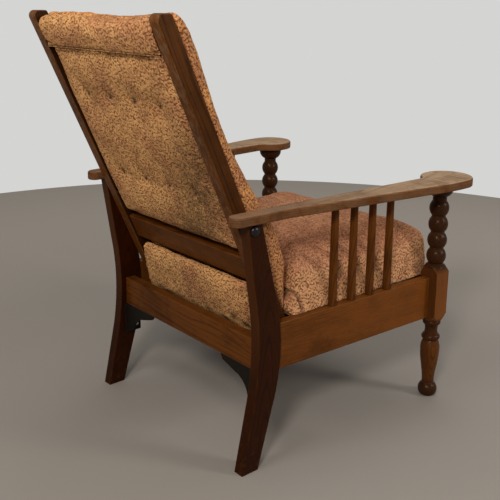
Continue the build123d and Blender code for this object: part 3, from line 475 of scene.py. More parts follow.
class ARMCHAIR_OT_seat_cushion(bpy.types.Operator):
    """Makes the sprung seat cushion's cover"""

    bl_idname = "armchair.seat_cushion"
    bl_label = "Seat Cushion"

    def execute(self, context):
        low, high = (Vector(corner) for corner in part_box("seat_cushion"))
        front_half, rear_half = half_widths("seat_cushion", 60 * MM)
        inset, rear_push, sink, crown = 4 * MM, 13 * MM, 24 * MM, 9 * MM
        size = (front_half, (high.y - low.y) / 2, (high.z - low.z) / 2)
        mesh = rounded_box(36, size, corners=(46 * MM, 10 * MM), under=3 * MM, over=36 * MM)
        for vertex in mesh.verts:
            across, along, up = vertex.co
            up_share = (up + 1) / 2
            rear = high.y + MM * from_table(SEAT_REAR, up_share)
            rear += rear_push * smooth_step(0.72, 1.0, abs(across)) * (1 - smooth_step(0.30, 0.55, up_share))
            depth = spread(along, low.y + inset, rear)
            front_share = 1 - (along + 1) / 2
            half = spread(2 * (depth - low.y) / (high.y - low.y) - 1, front_half, rear_half) - inset
            half += (9.5 - 4.4 * front_share) * MM * (1 - smooth_step(0.05, 0.28, up_share))
            half -= 3 * MM * smooth_step(0.45, 1.0, up_share)
            dome = (1 - across ** 2) * (1 - along ** 2)
            top = high.z - sink + crown * dome
            vertex.co = (across * half, depth, spread(up, low.z - 6 * MM, top))
        floor_level = low.z + 2 * MM

        def held(place):
            return 1.0 if place[2] < floor_level else 0.0

        caps = (6 * MM, 6 * MM, settings().padding.seat_swell)
        piece = pad("seat_cushion_cover", mesh, held, caps, np.eye(3))
        route = [(high.y - inward * MM, low.z + rise * MM) for rise, inward in SEAT_FOLD]
        soil_and_shade = self.fold_sides(piece, route)
        wrinkle(piece, (1.6, 70, 3), (0.5, 16, 5))
        self.keep_off_rails(piece, low.z)
        write_soil_and_shade(piece, soil_and_shade)
        finish_cover(piece, fabric_material("seat_fabric", seat=True), "seat", ["seat_cushion"])
        return {"FINISHED"}

    def fold_sides(self, piece, route):
        """Presses the fold at the rear of both sides, and returns the painted shade in the fold at each
        place.
        """
        places = places_of(piece.data)
        away = np.min([away_from(places[:, 1:], start, end) for start, end in zip(route, route[1:])], axis=0)
        side = np.abs(places[:, 0]) > 200 * MM
        press = np.exp(-(away / (3.6 * MM)) ** 2) * side
        places[:, 0] -= np.sign(places[:, 0]) * 11 * MM * press
        set_places(piece.data, places)
        # Painted shade in the crease of the fold
        return np.exp(-(away / (3 * MM)) ** 2) * side

    def keep_off_rails(self, piece, foot):
        """Lifts what would go under the foot, into the side rails or onto the slotted plates."""
        rail_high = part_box("side_rail_right")[1]
        member_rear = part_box("seat_rear_member")[1][1]
        plate_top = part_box("slot_plate_right")[1][2]
        places = places_of(piece.data)
        clear = 1.5 * MM
        over_rail = np.abs(places[:, 0]) > -rail_high[0] - clear
        behind = places[:, 1] > member_rear - 8 * MM
        level = np.where(behind, plate_top + clear, foot + 0.4 * MM)
        level = np.where(over_rail, rail_high[2] + 0.7 * MM, level)
        places[:, 2] = np.maximum(places[:, 2], level)
        beside = np.abs(places[:, 0]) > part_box("back_stile_left")[0][0] - 6 * MM
        way = self.stile_way(places[:, 2])
        places[:, 1] = np.where(beside, np.minimum(places[:, 1], way), places[:, 1])
        set_places(piece.data, places)

    def stile_way(self, heights):
        """How far back the cushion may reach at each height, so that the leaned stiles clear it."""
        lean = settings().padding.back_lean + math.radians(RECLINE["range_deg"][1])
        front = box_on_back("back_stile_left")[0][1]
        up = (heights - PIVOT.z + front * math.sin(lean)) / math.cos(lean)
        return PIVOT.y + front * math.cos(lean) + up * math.sin(lean) + SLIDE["range_m"][1] - 1.2 * MM


class ARMCHAIR_OT_seat_border(bpy.types.Operator):
    """Makes the padded border in front of the seat frame"""

    bl_idname = "armchair.seat_border"
    bl_label = "Seat Border"

    def execute(self, context):
        low, high = (Vector(corner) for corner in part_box("seat_front_border"))
        size = ((high.x - low.x) / 2, (high.z - low.z) / 2, (high.y - low.y) / 2)
        mesh = rounded_box(20, size, corners=(8 * MM, 8 * MM), under=1 * MM, over=7 * MM)
        for vertex in mesh.verts:
            across, up, along = vertex.co[0], vertex.co[1], -vertex.co[2]
            puff = 1.5 * MM * (1 - across ** 2) * (1 - up ** 2) * (along < 0)
            vertex.co = (
                spread(across, low.x, high.x),
                spread(along, low.y + 3 * MM, high.y) - puff,
                spread(up, low.z, high.z),
            )

        def held(place):
            return 1.0 if place[1] > high.y - 5 * MM else 0.0

        caps = (1 * MM, 4 * MM, 0.3 * MM)
        piece = pad("seat_border_cover", mesh, held, caps, np.eye(3), voxel=5 * MM)
        wrinkle(piece, (0.4, 16, 8))
        finish_cover(piece, fabric_material("seat_fabric", seat=True), "seat", ["seat_front_border"])
        return {"FINISHED"}


# Up the back cushion: height share, and share of its full thickness
CUSHION_RISE = (
    (0.00, 0.14), (0.07, 0.50), (0.15, 0.94), (0.26, 1.00), (0.36, 0.84), (0.45, 0.60),
    (0.60, 0.42), (0.74, 0.39), (0.88, 0.52), (0.96, 0.50), (1.00, 0.36),
)


def tuft_places(node, rear):
    """Where the tufts are, and the level of the cover under each, behind or in front."""
    tufts = []
    for low, high in boxes_of(node, turned=True):
        level = low[1] if rear else high[1]
        tufts.append(((low[0] + high[0]) / 2, level, (low[2] + high[2]) / 2))
    return tufts


def tuft_pull(tufts, across, up, reach):
    """Most share of any tuft's pull at one place, and the level that it pulls to."""
    best = (0.0, 0.0)
    for x, level, height in tufts:
        away = math.hypot(across - x, up - height)
        share = math.exp(-(away / reach) ** 2)
        if share > best[0]:
            best = (share, level)
    return best


def near_tuft(tufts, across, up, reach):
    """Whether a place of the cover is within reach of a tuft, as a share for the cloth."""
    return float(min(math.hypot(across - x, up - height) for x, _, height in tufts) < reach)


# From the near side to the far side: how much higher or lower the back's padded top is, in millimetres
TOP_LINE = ((-1.0, 6), (-0.8, 5), (-0.35, -6), (0.1, -3), (0.6, 2), (1.0, 0))


class ARMCHAIR_OT_back_cushion(bpy.types.Operator):
    """Makes the tufted cushion on the front of the back"""

    bl_idname = "armchair.back_cushion"
    bl_label = "Back Cushion"

    def execute(self, context):
        padding = settings().padding
        low, high = box_on_back("back_cushion")
        half = high[0]
        flat = high[1]
        full = flat - low[1]
        tufts = tuft_places("back_buttons", rear=False)
        inset = 4 * MM
        size = (half, (high[2] - low[2]) / 2, 36 * MM)
        mesh = rounded_box(34, size, corners=(8 * MM, 24 * MM), under=5 * MM, over=22 * MM)
        for vertex in mesh.verts:
            across, along, forward = vertex.co
            crest = from_table(TOP_LINE, across) * MM * smooth_step(0.5, 1.0, along)
            up = spread(along, low[2], high[2] + 5 * MM) + crest
            share = (up - low[2]) / (high[2] - low[2])
            x = across * (half - inset)
            thick = full * from_table(CUSHION_RISE, share) * (0.78 + 0.14 * (1 - across ** 2))
            front = flat - thick
            pull, level = tuft_pull(tufts, x, up, padding.tuft_radius)
            front += (level - front) * pull
            vertex.co = on_back(x, spread(forward, flat - 0.5 * MM, front), up)

        def held(place):
            x, behind, up = from_back(place)
            if behind > flat - 4 * MM:
                return 1.0
            return near_tuft(tufts, x, up, 11 * MM)

        caps = (4 * MM, padding.back_swell, 5 * MM)
        piece = pad("back_cushion_cover", mesh, held, caps, back_axes())
        folds = []
        for x, level, height in tufts:
            for run, rise in ((0, 36), (26, 24), (-26, 24), (0, -30)):
                end = on_back(x + run * MM, level - 14 * MM, height + rise * MM)
                folds.append((on_back(x, level, height), end, push_of(1), 6 * MM, 4.5 * MM))
        dent(piece, folds)
        wrinkle(piece, (1.4, 60, 1), (0.5, 15, 2))
        hold_to(piece, flat, min)
        # Painted shade around each tuft's hollow
        mark(piece, [(place, place, 17 * MM, 0.75) for place in (on_back(*tuft) for tuft in tufts)])
        finish_cover(piece, fabric_material("pad_fabric", warm=1.0), "back", ["back_cushion"])
        return {"FINISHED"}


class ARMCHAIR_OT_upper_panel(bpy.types.Operator):
    """Makes the tufted panel behind the back, above the cross rail"""

    bl_idname = "armchair.upper_panel"
    bl_label = "Upper Panel"

    def execute(self, context):
        padding = settings().padding
        low, high = box_on_back("back_panel_upper")
        tufts = tuft_places("tuft_ties", rear=True)
        proud = high[1] - 2 * MM
        size = (high[0], (high[2] - low[2]) / 2, 17 * MM)
        mesh = rounded_box(30, size, corners=(10 * MM, 5 * MM), under=2 * MM, over=12 * MM)
        for vertex in mesh.verts:
            across, along, behind = vertex.co
            up = spread(along, low[2] + 15 * MM, high[2] - 1 * MM)
            drawn = 10 * MM * math.exp(-((up - 350 * MM) / (70 * MM)) ** 2)
            half = high[0] - 1 * MM - drawn * (1.0 if across > 0 else 0.3)
            x = across * half
            rear = proud
            pull, level = tuft_pull(tufts, x, up, 20 * MM)
            rear += (level - rear) * pull
            vertex.co = on_back(x, spread(behind, low[1] + 0.5 * MM, rear), up)

        def held(place):
            x, behind, up = from_back(place)
            if behind < proud - 14 * MM:
                return 1.0
            return near_tuft(tufts, x, up, 7 * MM)

        caps = (0.8 * MM, padding.panel_swell, 0.8 * MM)
        piece = pad("back_panel_upper_cover", mesh, held, caps, back_axes())
        inward = push_of(-1)
        folds, soil_and_shade = [], []
        for index, (x, level, height) in enumerate(tufts):
            aside = (-1) ** index * 3 * MM
            start = on_back(x, level + 3 * MM, height + 3 * MM)
            end = on_back(x + aside, level + 8 * MM, height + 17 * MM)
            left = on_back(x - 11 * MM, level + 7 * MM, height + 3 * MM)
            right = on_back(x + 11 * MM, level + 7 * MM, height + 2 * MM)
            folds += [(start, end, inward, 3.6 * MM, 3.8 * MM), (left, right, inward, 4 * MM, 1.8 * MM)]
            # Painted shade in each tuft's crease and pit
            soil_and_shade += [(start, end, 4 * MM, 0.65), (start, start, 7 * MM, 1.0)]
        hem = [on_back(side * high[0], proud + 6 * MM, high[2] - 3 * MM) for side in (-1, 1)]
        folds.append((*hem, inward, 5 * MM, 7 * MM))
        # A painted shadow line under the hood's hem
        soil_and_shade.append((*hem, 5 * MM, 1.2))
        # Painted shade over the lower near part of the panel
        foot = on_back(-80 * MM, proud, low[2] + 20 * MM)
        soil_and_shade.append((foot, on_back(-210 * MM, proud, 150 * MM), 85 * MM, 0.70))
        dent(piece, folds)
        wrinkle(piece, (1.5, 55, 11), (0.5, 14, 12))
        mark(piece, soil_and_shade)
        finish_cover(piece, fabric_material("back_fabric"), "back", ["back_panel_upper"])
        return {"FINISHED"}


# Up the lower panel: height share, and share of its draw or of its fullness
PANEL_DRAW = ((0.0, 0.0), (0.25, 0.05), (0.55, 0.35), (0.85, 0.85), (1.0, 1.0))
PANEL_FULL = ((0.0, 1.15), (0.15, 1.20), (0.30, 1.20), (0.55, 1.10), (0.85, 1.0), (1.0, 0.92))
# Frayed places of the lower panel: millimetres across and over its foot, and their reach
PANEL_FRAY = (
    (144, 41, 9), (68, 41, 11), (-55, 45, 12), (-105, 34, 10), (-150, 58, 13), (-183, 42, 13), (-205, 62, 8),
)


class ARMCHAIR_OT_lower_panel(bpy.types.Operator):
    """Makes the full panel behind the back, below the cross rail"""

    bl_idname = "armchair.lower_panel"
    bl_label = "Lower Panel"

    def execute(self, context):
        padding = settings().padding
        low, high = box_on_back("back_panel_lower")
        flat = low[1]
        full = high[1] - flat - 2 * MM
        draw = 38 * MM
        size = (high[0], (high[2] - low[2]) / 2, 12 * MM)
        mesh = rounded_box(26, size, corners=(6 * MM, 3 * MM), under=1 * MM, over=6 * MM)
        for vertex in mesh.verts:
            across, along, behind = vertex.co
            share = (along + 1) / 2
            up = spread(along, low[2] - 2 * MM, high[2] + 5 * MM)
            half = high[0] - 2 * MM - draw * from_table(PANEL_DRAW, share) * (1.0 if across > 0 else 0.25)
            rear = flat + full * from_table(PANEL_FULL, share)
            vertex.co = on_back(across * half, spread(behind, flat, rear), up)
        top = high[2]

        def held(place):
            _, behind, up = from_back(place)
            return 1.0 if behind < flat + 4 * MM or up > top - 4 * MM else 0.0

        caps = (2 * MM, padding.panel_swell, 3 * MM)
        piece = pad("back_panel_lower_cover", mesh, held, caps, back_axes())
        wrinkle(piece, (2.6, 45, 21), (0.8, 15, 22))
        hold_to(piece, flat, max)
        marks = []
        for across, rise, reach in PANEL_FRAY:
            place = on_back(across * MM, flat + full + 6 * MM, low[2] + rise * MM)
            marks.append((place, place, 1.3 * reach * MM, 1.0))
        # Painted shade over the middle of the lower panel
        middle = on_back(0, flat + full, low[2] + 70 * MM)
        marks.append((middle, middle, 130 * MM, 0.26))
        mark(piece, marks)
        finish_cover(piece, fabric_material("back_fabric"), "back", ["back_panel_lower"])
        return {"FINISHED"}


class ARMCHAIR_OT_hood(bpy.types.Operator):
    """Makes the padded hood over the top rail, and the cord along its hem"""

    bl_idname = "armchair.hood"
    bl_label = "Hood"

    def execute(self, context):
        low, high = box_on_back("back_hood")
        rail_high = box_on_back("back_top_rail")[1]
        gap = 0.6 * MM
        wall_low, wall_top = rail_high[1] + gap, rail_high[2] + gap
        # Behind and up: round the hood's outside, and back round the top rail
        rim = (
            (wall_low, low[2]), (high[1] - 1 * MM, low[2]), (high[1], (low[2] + high[2]) / 2),
            (high[1] - 2 * MM, high[2] - 12 * MM), (high[1] - 12 * MM, high[2] - 2 * MM),
            ((low[1] + high[1]) / 2, high[2]), (low[1], high[2] - 2 * MM), (low[1], wall_top),
            ((low[1] + wall_low) / 2, wall_top), (wall_low, wall_top),
        )
        mesh = bmesh.new()
        made = [mesh.faces.new([mesh.verts.new((-1, behind, up)) for behind, up in rim])]
        steps = 40
        for _ in range(steps):
            grown = bmesh.ops.extrude_face_region(mesh, geom=made)["geom"]
            moving = [item for item in grown if isinstance(item, bmesh.types.BMVert)]
            bmesh.ops.translate(mesh, vec=(2 / steps, 0, 0), verts=moving)
            made = [item for item in grown if isinstance(item, bmesh.types.BMFace)]
        for vertex in mesh.verts:
            across, behind, up = vertex.co
            sag = (1 - from_table(TOP_LINE, across)) * MM
            sag *= smooth_step(wall_top + 3 * MM, high[2] - 3 * MM, up)
            full = (1 - across ** 8) * 1.5 * MM * smooth_step(wall_low + 2 * MM, high[1] - 2 * MM, behind)
            drawn = 1.5 * MM * (behind > wall_low + gap)
            vertex.co = on_back(across * (high[0] - 1 * MM), behind + full - drawn, up - sag)

        def held(place):
            _, behind, up = from_back(place)
            inside = behind < wall_low + 3 * MM and up < wall_top + 3 * MM
            return 1.0 if inside or up < low[2] + 5 * MM else 0.0

        caps = (1 * MM, 4 * MM, 4 * MM)
        piece = pad("back_hood_cover", mesh, held, caps, back_axes(), voxel=4 * MM)
        tucks = []
        for side, rise in ((1, 9 * MM), (-1, 5 * MM)):
            edge = side * (high[0] - 4 * MM)
            start = on_back(edge, high[1], low[2] + rise)
            end = on_back(edge - side * 16 * MM, high[1], low[2] + 0.7 * rise)
            tucks.append((start, end, push_of(-1), 5 * MM, 5 * MM))
        dent(piece, tucks)
        wrinkle(piece, (2.4, 38, 31), (0.5, 12, 32))
        # Painted shade in the tucks at both ends
        mark(piece, [(start, end, 5 * MM, 0.8) for start, end, *_ in tucks])
        finish_cover(piece, fabric_material("back_fabric"), "back", ["back_hood"])
        self.hem_cord(high[1] - 0.4 * MM, low[2] + 0.6 * MM, 2 * (high[0] - 3 * MM))
        return {"FINISHED"}

    def hem_cord(self, level, height, length):
        """The covered cord that ends the hood, with both ends tucked in."""
        mesh = bmesh.new()
        radius = 1.3 * MM
        bmesh.ops.create_cone(
            mesh, cap_ends=True, segments=10, radius1=radius, radius2=radius, depth=length,
            matrix=Matrix.Rotation(math.pi / 2, 4, "Y"),
        )
        runs = [edge for edge in mesh.edges if abs(edge.verts[0].co.x - edge.verts[1].co.x) > length / 2]
        bmesh.ops.subdivide_edges(mesh, edges=runs, cuts=80)
        for vertex in mesh.verts:
            across, behind, up = vertex.co
            wave = 0.8 * MM * noise.noise(Vector((across / (40 * MM), 4, 2)))
            tuck = 5 * MM * smooth_step(length / 2 - 14 * MM, length / 2, abs(across))
            vertex.co = on_back(across, level + behind - 0.6 * tuck, height + up + wave - 0.4 * tuck)
        piece = piece_from(mesh, "hood_hem_cord")
        # The whole cord is darkened as painted shade, for the shadow line under the hem
        write_soil_and_shade(piece, np.full(len(piece.data.vertices), 0.6))
        piece.data.materials.append(fabric_material("back_fabric"))
        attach(piece, "back")


class ARMCHAIR_OT_buttons(bpy.types.Operator):
    """Makes the covered buttons on the back cushion"""

    bl_idname = "armchair.buttons"
    bl_label = "Buttons"

    def execute(self, context):
        mesh = bmesh.new()
        lean = Matrix.Rotation(-settings().padding.back_lean, 4, "X")
        for low, high in boxes_of("back_buttons", turned=True):
            radius = (high[0] - low[0]) / 2
            thick = high[1] - low[1]
            sunk = 0.12 * thick
            made = bmesh.ops.create_uvsphere(mesh, u_segments=28, v_segments=14, radius=1)["verts"]
            bmesh.ops.rotate(mesh, verts=made, cent=(0, 0, 0), matrix=Matrix.Rotation(math.pi / 2, 3, "X"))
            for vertex in made:
                depth = sunk if vertex.co.y > 0 else thick - sunk
                vertex.co = (vertex.co.x * radius, vertex.co.y * depth, vertex.co.z * radius)
            bmesh.ops.transform(mesh, verts=made, matrix=lean)
            place = on_back((low[0] + high[0]) / 2, high[1] - sunk, (low[2] + high[2]) / 2)
            bmesh.ops.translate(mesh, verts=made, vec=place)
        piece = piece_from(mesh, "back_button_covers")
        piece.data.materials.append(fabric_material("pad_fabric", warm=1.0))
        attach(piece, "back")
        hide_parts("back_buttons")
        return {"FINISHED"}


class ARMCHAIR_OT_seat_base(bpy.types.Operator):
    """Makes the hessian and the woven webbing under the seat"""

    bl_idname = "armchair.seat_base"
    bl_label = "Seat Base"

    def execute(self, context):
        low, high = (Vector(corner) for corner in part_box("seat_hessian"))
        front_half, rear_half = half_widths("seat_hessian", 1 * MM)
        mesh = bmesh.new()
        bmesh.ops.create_grid(mesh, x_segments=40, y_segments=32, size=1)
        for vertex in mesh.verts:
            across, along, _ = vertex.co
            half = spread(along, front_half, rear_half)
            sag = 0.5 * MM * noise.noise(Vector((across * 4, along * 4, 0)))
            vertex.co = (across * half, spread(along, low.y, high.y), (low.z + high.z) / 2 + sag)
        piece = piece_from(mesh, "seat_hessian_cloth")
        thicken(piece, 0.7 * MM)
        weave = weave_material("hessian_weave", 700, (0.36, 0.25, 0.14), (0.20, 0.13, 0.07))
        piece.data.materials.append(weave)
        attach(piece, "seat")
        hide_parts("seat_hessian")
        self.straps()
        return {"FINISHED"}

    def straps(self):
        """Webbing that passes over and under, each strap a piece of its own."""
        longs = sorted(boxes_of("seat_webbing_long"), key=lambda box: box[0][0])
        crosses = sorted(boxes_of("seat_webbing_cross"), key=lambda box: box[0][1])
        middle_x = [(low[0] + high[0]) / 2 for low, high in longs]
        middle_y = [(low[1] + high[1]) / 2 for low, high in crosses]
        level = (longs[0][0][2] + longs[0][1][2]) / 2 - 1 * MM
        lift = 1.0 * MM
        webbing = weave_material("webbing_weave", 420, (0.46, 0.33, 0.18), (0.25, 0.16, 0.08))
        for index, (low, high) in enumerate(longs):
            pitch = middle_y[1] - middle_y[0]
            self.strap(
                f"webbing_long_{index + 1}", low, high, 1,
                lambda x, y: level + lift * (-1) ** index * math.cos(math.pi * (y - middle_y[0]) / pitch),
                "seat_webbing_long", webbing,
            )
        for index, (low, high) in enumerate(crosses):
            pitch = middle_x[1] - middle_x[0]
            end_level = low[2] + 1.1 * MM
            end = high[0]

            def wave(x, y):
                free = level - lift * (-1) ** index * math.cos(math.pi * (x - middle_x[0]) / pitch)
                return free + (end_level - free) * smooth_step(end - 45 * MM, end - 22 * MM, abs(x))

            self.strap(f"webbing_cross_{index + 1}", low, high, 0, wave, "seat_webbing_cross", webbing)

    def strap(self, name, low, high, along, level, node, material):
        mesh = bmesh.new()
        counts = (8, 90) if along else (90, 8)
        bmesh.ops.create_grid(mesh, x_segments=counts[0], y_segments=counts[1], size=1)
        for vertex in mesh.verts:
            x, y = spread(vertex.co.x, low[0], high[0]), spread(vertex.co.y, low[1], high[1])
            vertex.co = (x, y, level(x, y))
        piece = piece_from(mesh, name)
        thicken(piece, 1.2 * MM)
        piece.data.materials.append(material)
        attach(piece, "seat")
        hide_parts(node)


def thicken(piece, thickness):
    modifier = piece.modifiers.new("Solidify", "SOLIDIFY")
    modifier.thickness = thickness
    modifier.offset = 0
    apply_modifiers(piece)


# Building materials

def feed(tree, node, inputs):
    """Links or sets the inputs of a node."""
    for name, value in inputs.items():
        if isinstance(value, bpy.types.NodeSocket):
            tree.links.new(value, node.inputs[name])
        else:
            node.inputs[name].default_value = value


def add(tree, kind, inputs=None, **options):
    """Adds a node, sets its options, and links or sets its inputs."""
    node = tree.nodes.new(kind)
    for name, value in options.items():
        setattr(node, name, value)
    feed(tree, node, inputs or {})
    return node


def maths(tree, operation, *values, clamp=False):
    node = add(tree, "ShaderNodeMath", dict(enumerate(values)), operation=operation, use_clamp=clamp)
    return node.outputs[0]


def times(tree, first, second, clamp=False):
    return maths(tree, "MULTIPLY", first, second, clamp=clamp)


def vectors(tree, operation, inputs):
    """Vector maths. It gives a value where the operation measures, and else a vector."""
    node = add(tree, "ShaderNodeVectorMath", inputs, operation=operation)
    return node.outputs["Value" if operation in ("LENGTH", "DOT_PRODUCT") else "Vector"]


def part_of(tree, vector, axis):
    return add(tree, "ShaderNodeSeparateXYZ", {0: vector}).outputs[axis]


def facing(tree, axis):
    """How far the surface faces along an axis, from -1 to 1."""
    return part_of(tree, add(tree, "ShaderNodeNewGeometry").outputs["Normal"], axis)


def step(tree, value, low, high, to_low=0.0, to_high=1.0):
    """Turns a range of values smoothly into another."""
    node = add(
        tree, "ShaderNodeMapRange",
        {"Value": value, "From Min": low, "From Max": high, "To Min": to_low, "To Max": to_high},
        interpolation_type="SMOOTHSTEP",
    )
    return node.outputs["Result"]


def colour(value):
    return (*value[:3], 1.0)


def shaded(tone, share):
    """A colour with a share of its light, or with a share for each of its parts."""
    shares = share if isinstance(share, tuple) else (share,) * 3
    return [part * each for part, each in zip(tone, shares)]


def mix(tree, factor, first, second):
    """Mixes two colours, given as sockets or as values."""
    ends = [end if isinstance(end, bpy.types.NodeSocket) else colour(end) for end in (first, second)]
    return add(tree, "ShaderNodeMix", {0: factor, 6: ends[0], 7: ends[1]}, data_type="RGBA").outputs[2]


def noise_of(tree, place, scale, detail=2.0, roughness=0.5, stretch=(1, 1, 1)):
    """Noise at a scale given per metre, stretched along the axes."""
    scaled = vectors(tree, "MULTIPLY", {0: place, 1: tuple(scale * part for part in stretch)})
    node = add(
        tree, "ShaderNodeTexNoise",
        {"Vector": scaled, "Scale": 1.0, "Detail": detail, "Roughness": roughness},
    )
    return node.outputs["Fac"]


def group(name, inputs, outputs, fill):
    """A shader node group, made once. fill() gets its tree and inputs, and returns its outputs."""
    tree = bpy.data.node_groups.get(name)
    if tree:
        return tree
    tree = bpy.data.node_groups.new(name, "ShaderNodeTree")
    for label, kind, default in inputs:
        socket = tree.interface.new_socket(label, in_out="INPUT", socket_type=kind)
        if default is not None:
            socket.default_value = default
    for label, kind in outputs:
        tree.interface.new_socket(label, in_out="OUTPUT", socket_type=kind)
    start = tree.nodes.new("NodeGroupInput")
    end = tree.nodes.new("NodeGroupOutput")
    for label, value in fill(tree, start.outputs).items():
        tree.links.new(value, end.inputs[label])
    return tree


def use(tree, made, inputs):
    """Places a group in a material with its own values."""
    return add(tree, "ShaderNodeGroup", inputs, node_tree=made).outputs


FLOAT, COLOR, VECTOR = "NodeSocketFloat", "NodeSocketColor", "NodeSocketVector"


def grain_group():
    """Growth rings, pores and fibres about an axis along Z."""

    def fill(tree, given):
        place = given["Place"]
        wobble = noise_of(tree, place, 7, 2, stretch=(1, 1, 0.25))
        spread_out = maths(tree, "MULTIPLY_ADD", wobble, 0.030, -0.015)
        flat = vectors(tree, "MULTIPLY", {0: place, 1: (1, 1, 0)})
        reach = maths(tree, "ADD", vectors(tree, "LENGTH", {0: flat}), spread_out)
        uneven = add(
            tree, "ShaderNodeTexNoise", {"W": times(tree, reach, 60.0), "Scale": 1.0, "Detail": 1.0},
            noise_dimensions="1D",
        ).outputs["Fac"]
        turns = maths(tree, "DIVIDE", reach, given["Ring Pitch"])
        turns = maths(tree, "MULTIPLY_ADD", uneven, 1.6, turns)
        phase = maths(tree, "FRACT", turns)
        early = maths(tree, "SUBTRACT", 1.0, step(tree, phase, 0.0, 0.42))
        pores = noise_of(tree, place, 1, 1, stretch=(1500, 1500, 55))
        pore_mask = step(tree, pores, 0.56, 0.68)
        pore_mask = times(tree, pore_mask, maths(tree, "MULTIPLY_ADD", early, 0.75, 0.25))
        fibres = noise_of(tree, place, 1, 3, 0.6, stretch=(420, 420, 9))
        broad = noise_of(tree, place, 1, 2, stretch=(22, 22, 4))
        tone = times(tree, early, given["Ring Strength"])
        tone = maths(tree, "ADD", tone, maths(tree, "MULTIPLY_ADD", fibres, 0.9, -0.30))
        tone = maths(tree, "ADD", tone, maths(tree, "MULTIPLY_ADD", broad, 0.7, -0.30))
        tone = maths(tree, "ADD", tone, times(tree, pore_mask, 0.55), clamp=True)
        wood = mix(tree, tone, given["Light"], given["Dark"])
        height = times(tree, pore_mask, -1.0)
        height = maths(tree, "ADD", height, times(tree, early, -0.3))
        gloss = maths(tree, "MULTIPLY_ADD", pore_mask, 0.25, given["Polish"])
        gloss = maths(tree, "MULTIPLY_ADD", broad, 0.12, gloss)
        return {"Color": wood, "Roughness": gloss, "Height": height, "Tone": tone}

    return group(
        "Oak grain",
        [
            ("Place", VECTOR, None),
            ("Light", COLOR, (0.2, 0.1, 0.03, 1)), ("Dark", COLOR, (0.05, 0.02, 0.01, 1)),
            ("Ring Pitch", FLOAT, 0.0065), ("Ring Strength", FLOAT, 0.55), ("Polish", FLOAT, 0.32),
        ],
        [("Color", COLOR), ("Roughness", FLOAT), ("Height", FLOAT), ("Tone", FLOAT)],
        fill,
    )


def wear_group():
    """Edges that hands and feet have rubbed, broken up by noise."""

    def fill(tree, given):
        geometry = add(tree, "ShaderNodeNewGeometry")
        rounded = add(tree, "ShaderNodeBevel", {"Radius": given["Radius"]}, samples=4)
        along = vectors(tree, "DOT_PRODUCT", {0: rounded.outputs[0], 1: geometry.outputs["Normal"]})
        edge = step(tree, along, 0.995, 0.90)
        patchy = noise_of(tree, given["Place"], 38, 3, 0.65)
        mask = times(tree, edge, step(tree, patchy, 0.34, 0.66))
        return {"Mask": times(tree, mask, given["Strength"], clamp=True)}

    return group(
        "Edge wear",
        [("Place", VECTOR, None), ("Radius", FLOAT, 0.003), ("Strength", FLOAT, 1.0)],
        [("Mask", FLOAT)],
        fill,
    )


def scuff_group():
    """Small dents, rubs and darker handled patches."""

    def fill(tree, given):
        dents = noise_of(tree, given["Place"], 150, 4, 0.7)
        spots = step(tree, dents, 0.60, 0.72)
        handled = step(tree, noise_of(tree, given["Place"], 13, 3, 0.6), 0.42, 0.70)
        return {"Spots": spots, "Handled": handled}

    return group(
        "Scuffs", [("Place", VECTOR, None)], [("Spots", FLOAT), ("Handled", FLOAT)], fill
    )


def vermicelli_group():
    """Fine winding lines, soft tufts and broad patches of a chenille weave."""

    def fill(tree, given):
        place = given["Place"]
        warp = add(
            tree, "ShaderNodeTexNoise", {"Vector": place, "Scale": 70.0, "Detail": 1.0}
        ).outputs["Color"]
        shift = vectors(tree, "SUBTRACT", {0: warp, 1: (0.5, 0.5, 0.5)})
        shift = vectors(tree, "SCALE", {0: shift, "Scale": 0.006})
        bent = vectors(tree, "ADD", {0: place, 1: shift})
        bent = vectors(tree, "MULTIPLY", {0: bent, 1: (1.15, 1.15, 0.72)})
        rate = maths(tree, "DIVIDE", 1.0, given["Pitch"])
        waves = add(
            tree, "ShaderNodeTexGabor",
            {"Vector": bent, "Scale": rate, "Frequency": 1.25, "Anisotropy": 0.15}, gabor_type="3D",
        )
        line = maths(tree, "ABSOLUTE", maths(tree, "SUBTRACT", waves.outputs["Phase"], 0.5))
        line = maths(tree, "SUBTRACT", 1.0, step(tree, line, 0.08, 0.30))
        broken = step(tree, noise_of(tree, place, 210, 2), 0.32, 0.56, 0.25, 1.0)
        line = times(tree, line, broken)
        tufts = noise_of(tree, place, 340, 3, 0.75)
        pile = step(tree, tufts, 0.38, 0.68)
        patches = step(tree, noise_of(tree, place, 8.5, 3, 0.55), 0.44, 0.66)
        blotches = step(tree, noise_of(tree, place, 34, 2, 0.6), 0.42, 0.66)
        height = maths(tree, "MULTIPLY_ADD", line, -0.75, times(tree, pile, 0.55))
        return {"Lines": line, "Pile": pile, "Patches": patches, "Blotches": blotches, "Height": height}

    return group(
        "Vermicelli",
        [("Place", VECTOR, None), ("Pitch", FLOAT, 0.008)],
        [(label, FLOAT) for label in ("Lines", "Pile", "Patches", "Blotches", "Height")],
        fill,
    )


def new_material(name):
    """An empty node material with its shader and the object's own coordinates."""
    material = bpy.data.materials.new(name)
    material.use_nodes = True
    tree = material.node_tree
    shader = tree.nodes["Principled BSDF"]
    place = add(tree, "ShaderNodeTexCoord").outputs["Object"]
    return material, tree, shader, place


def relief(tree, shader, height, distance, strength=1.0):
    bump = add(tree, "ShaderNodeBump", {"Height": height, "Strength": strength, "Distance": distance})
    feed(tree, shader, {"Normal": bump.outputs[0]})


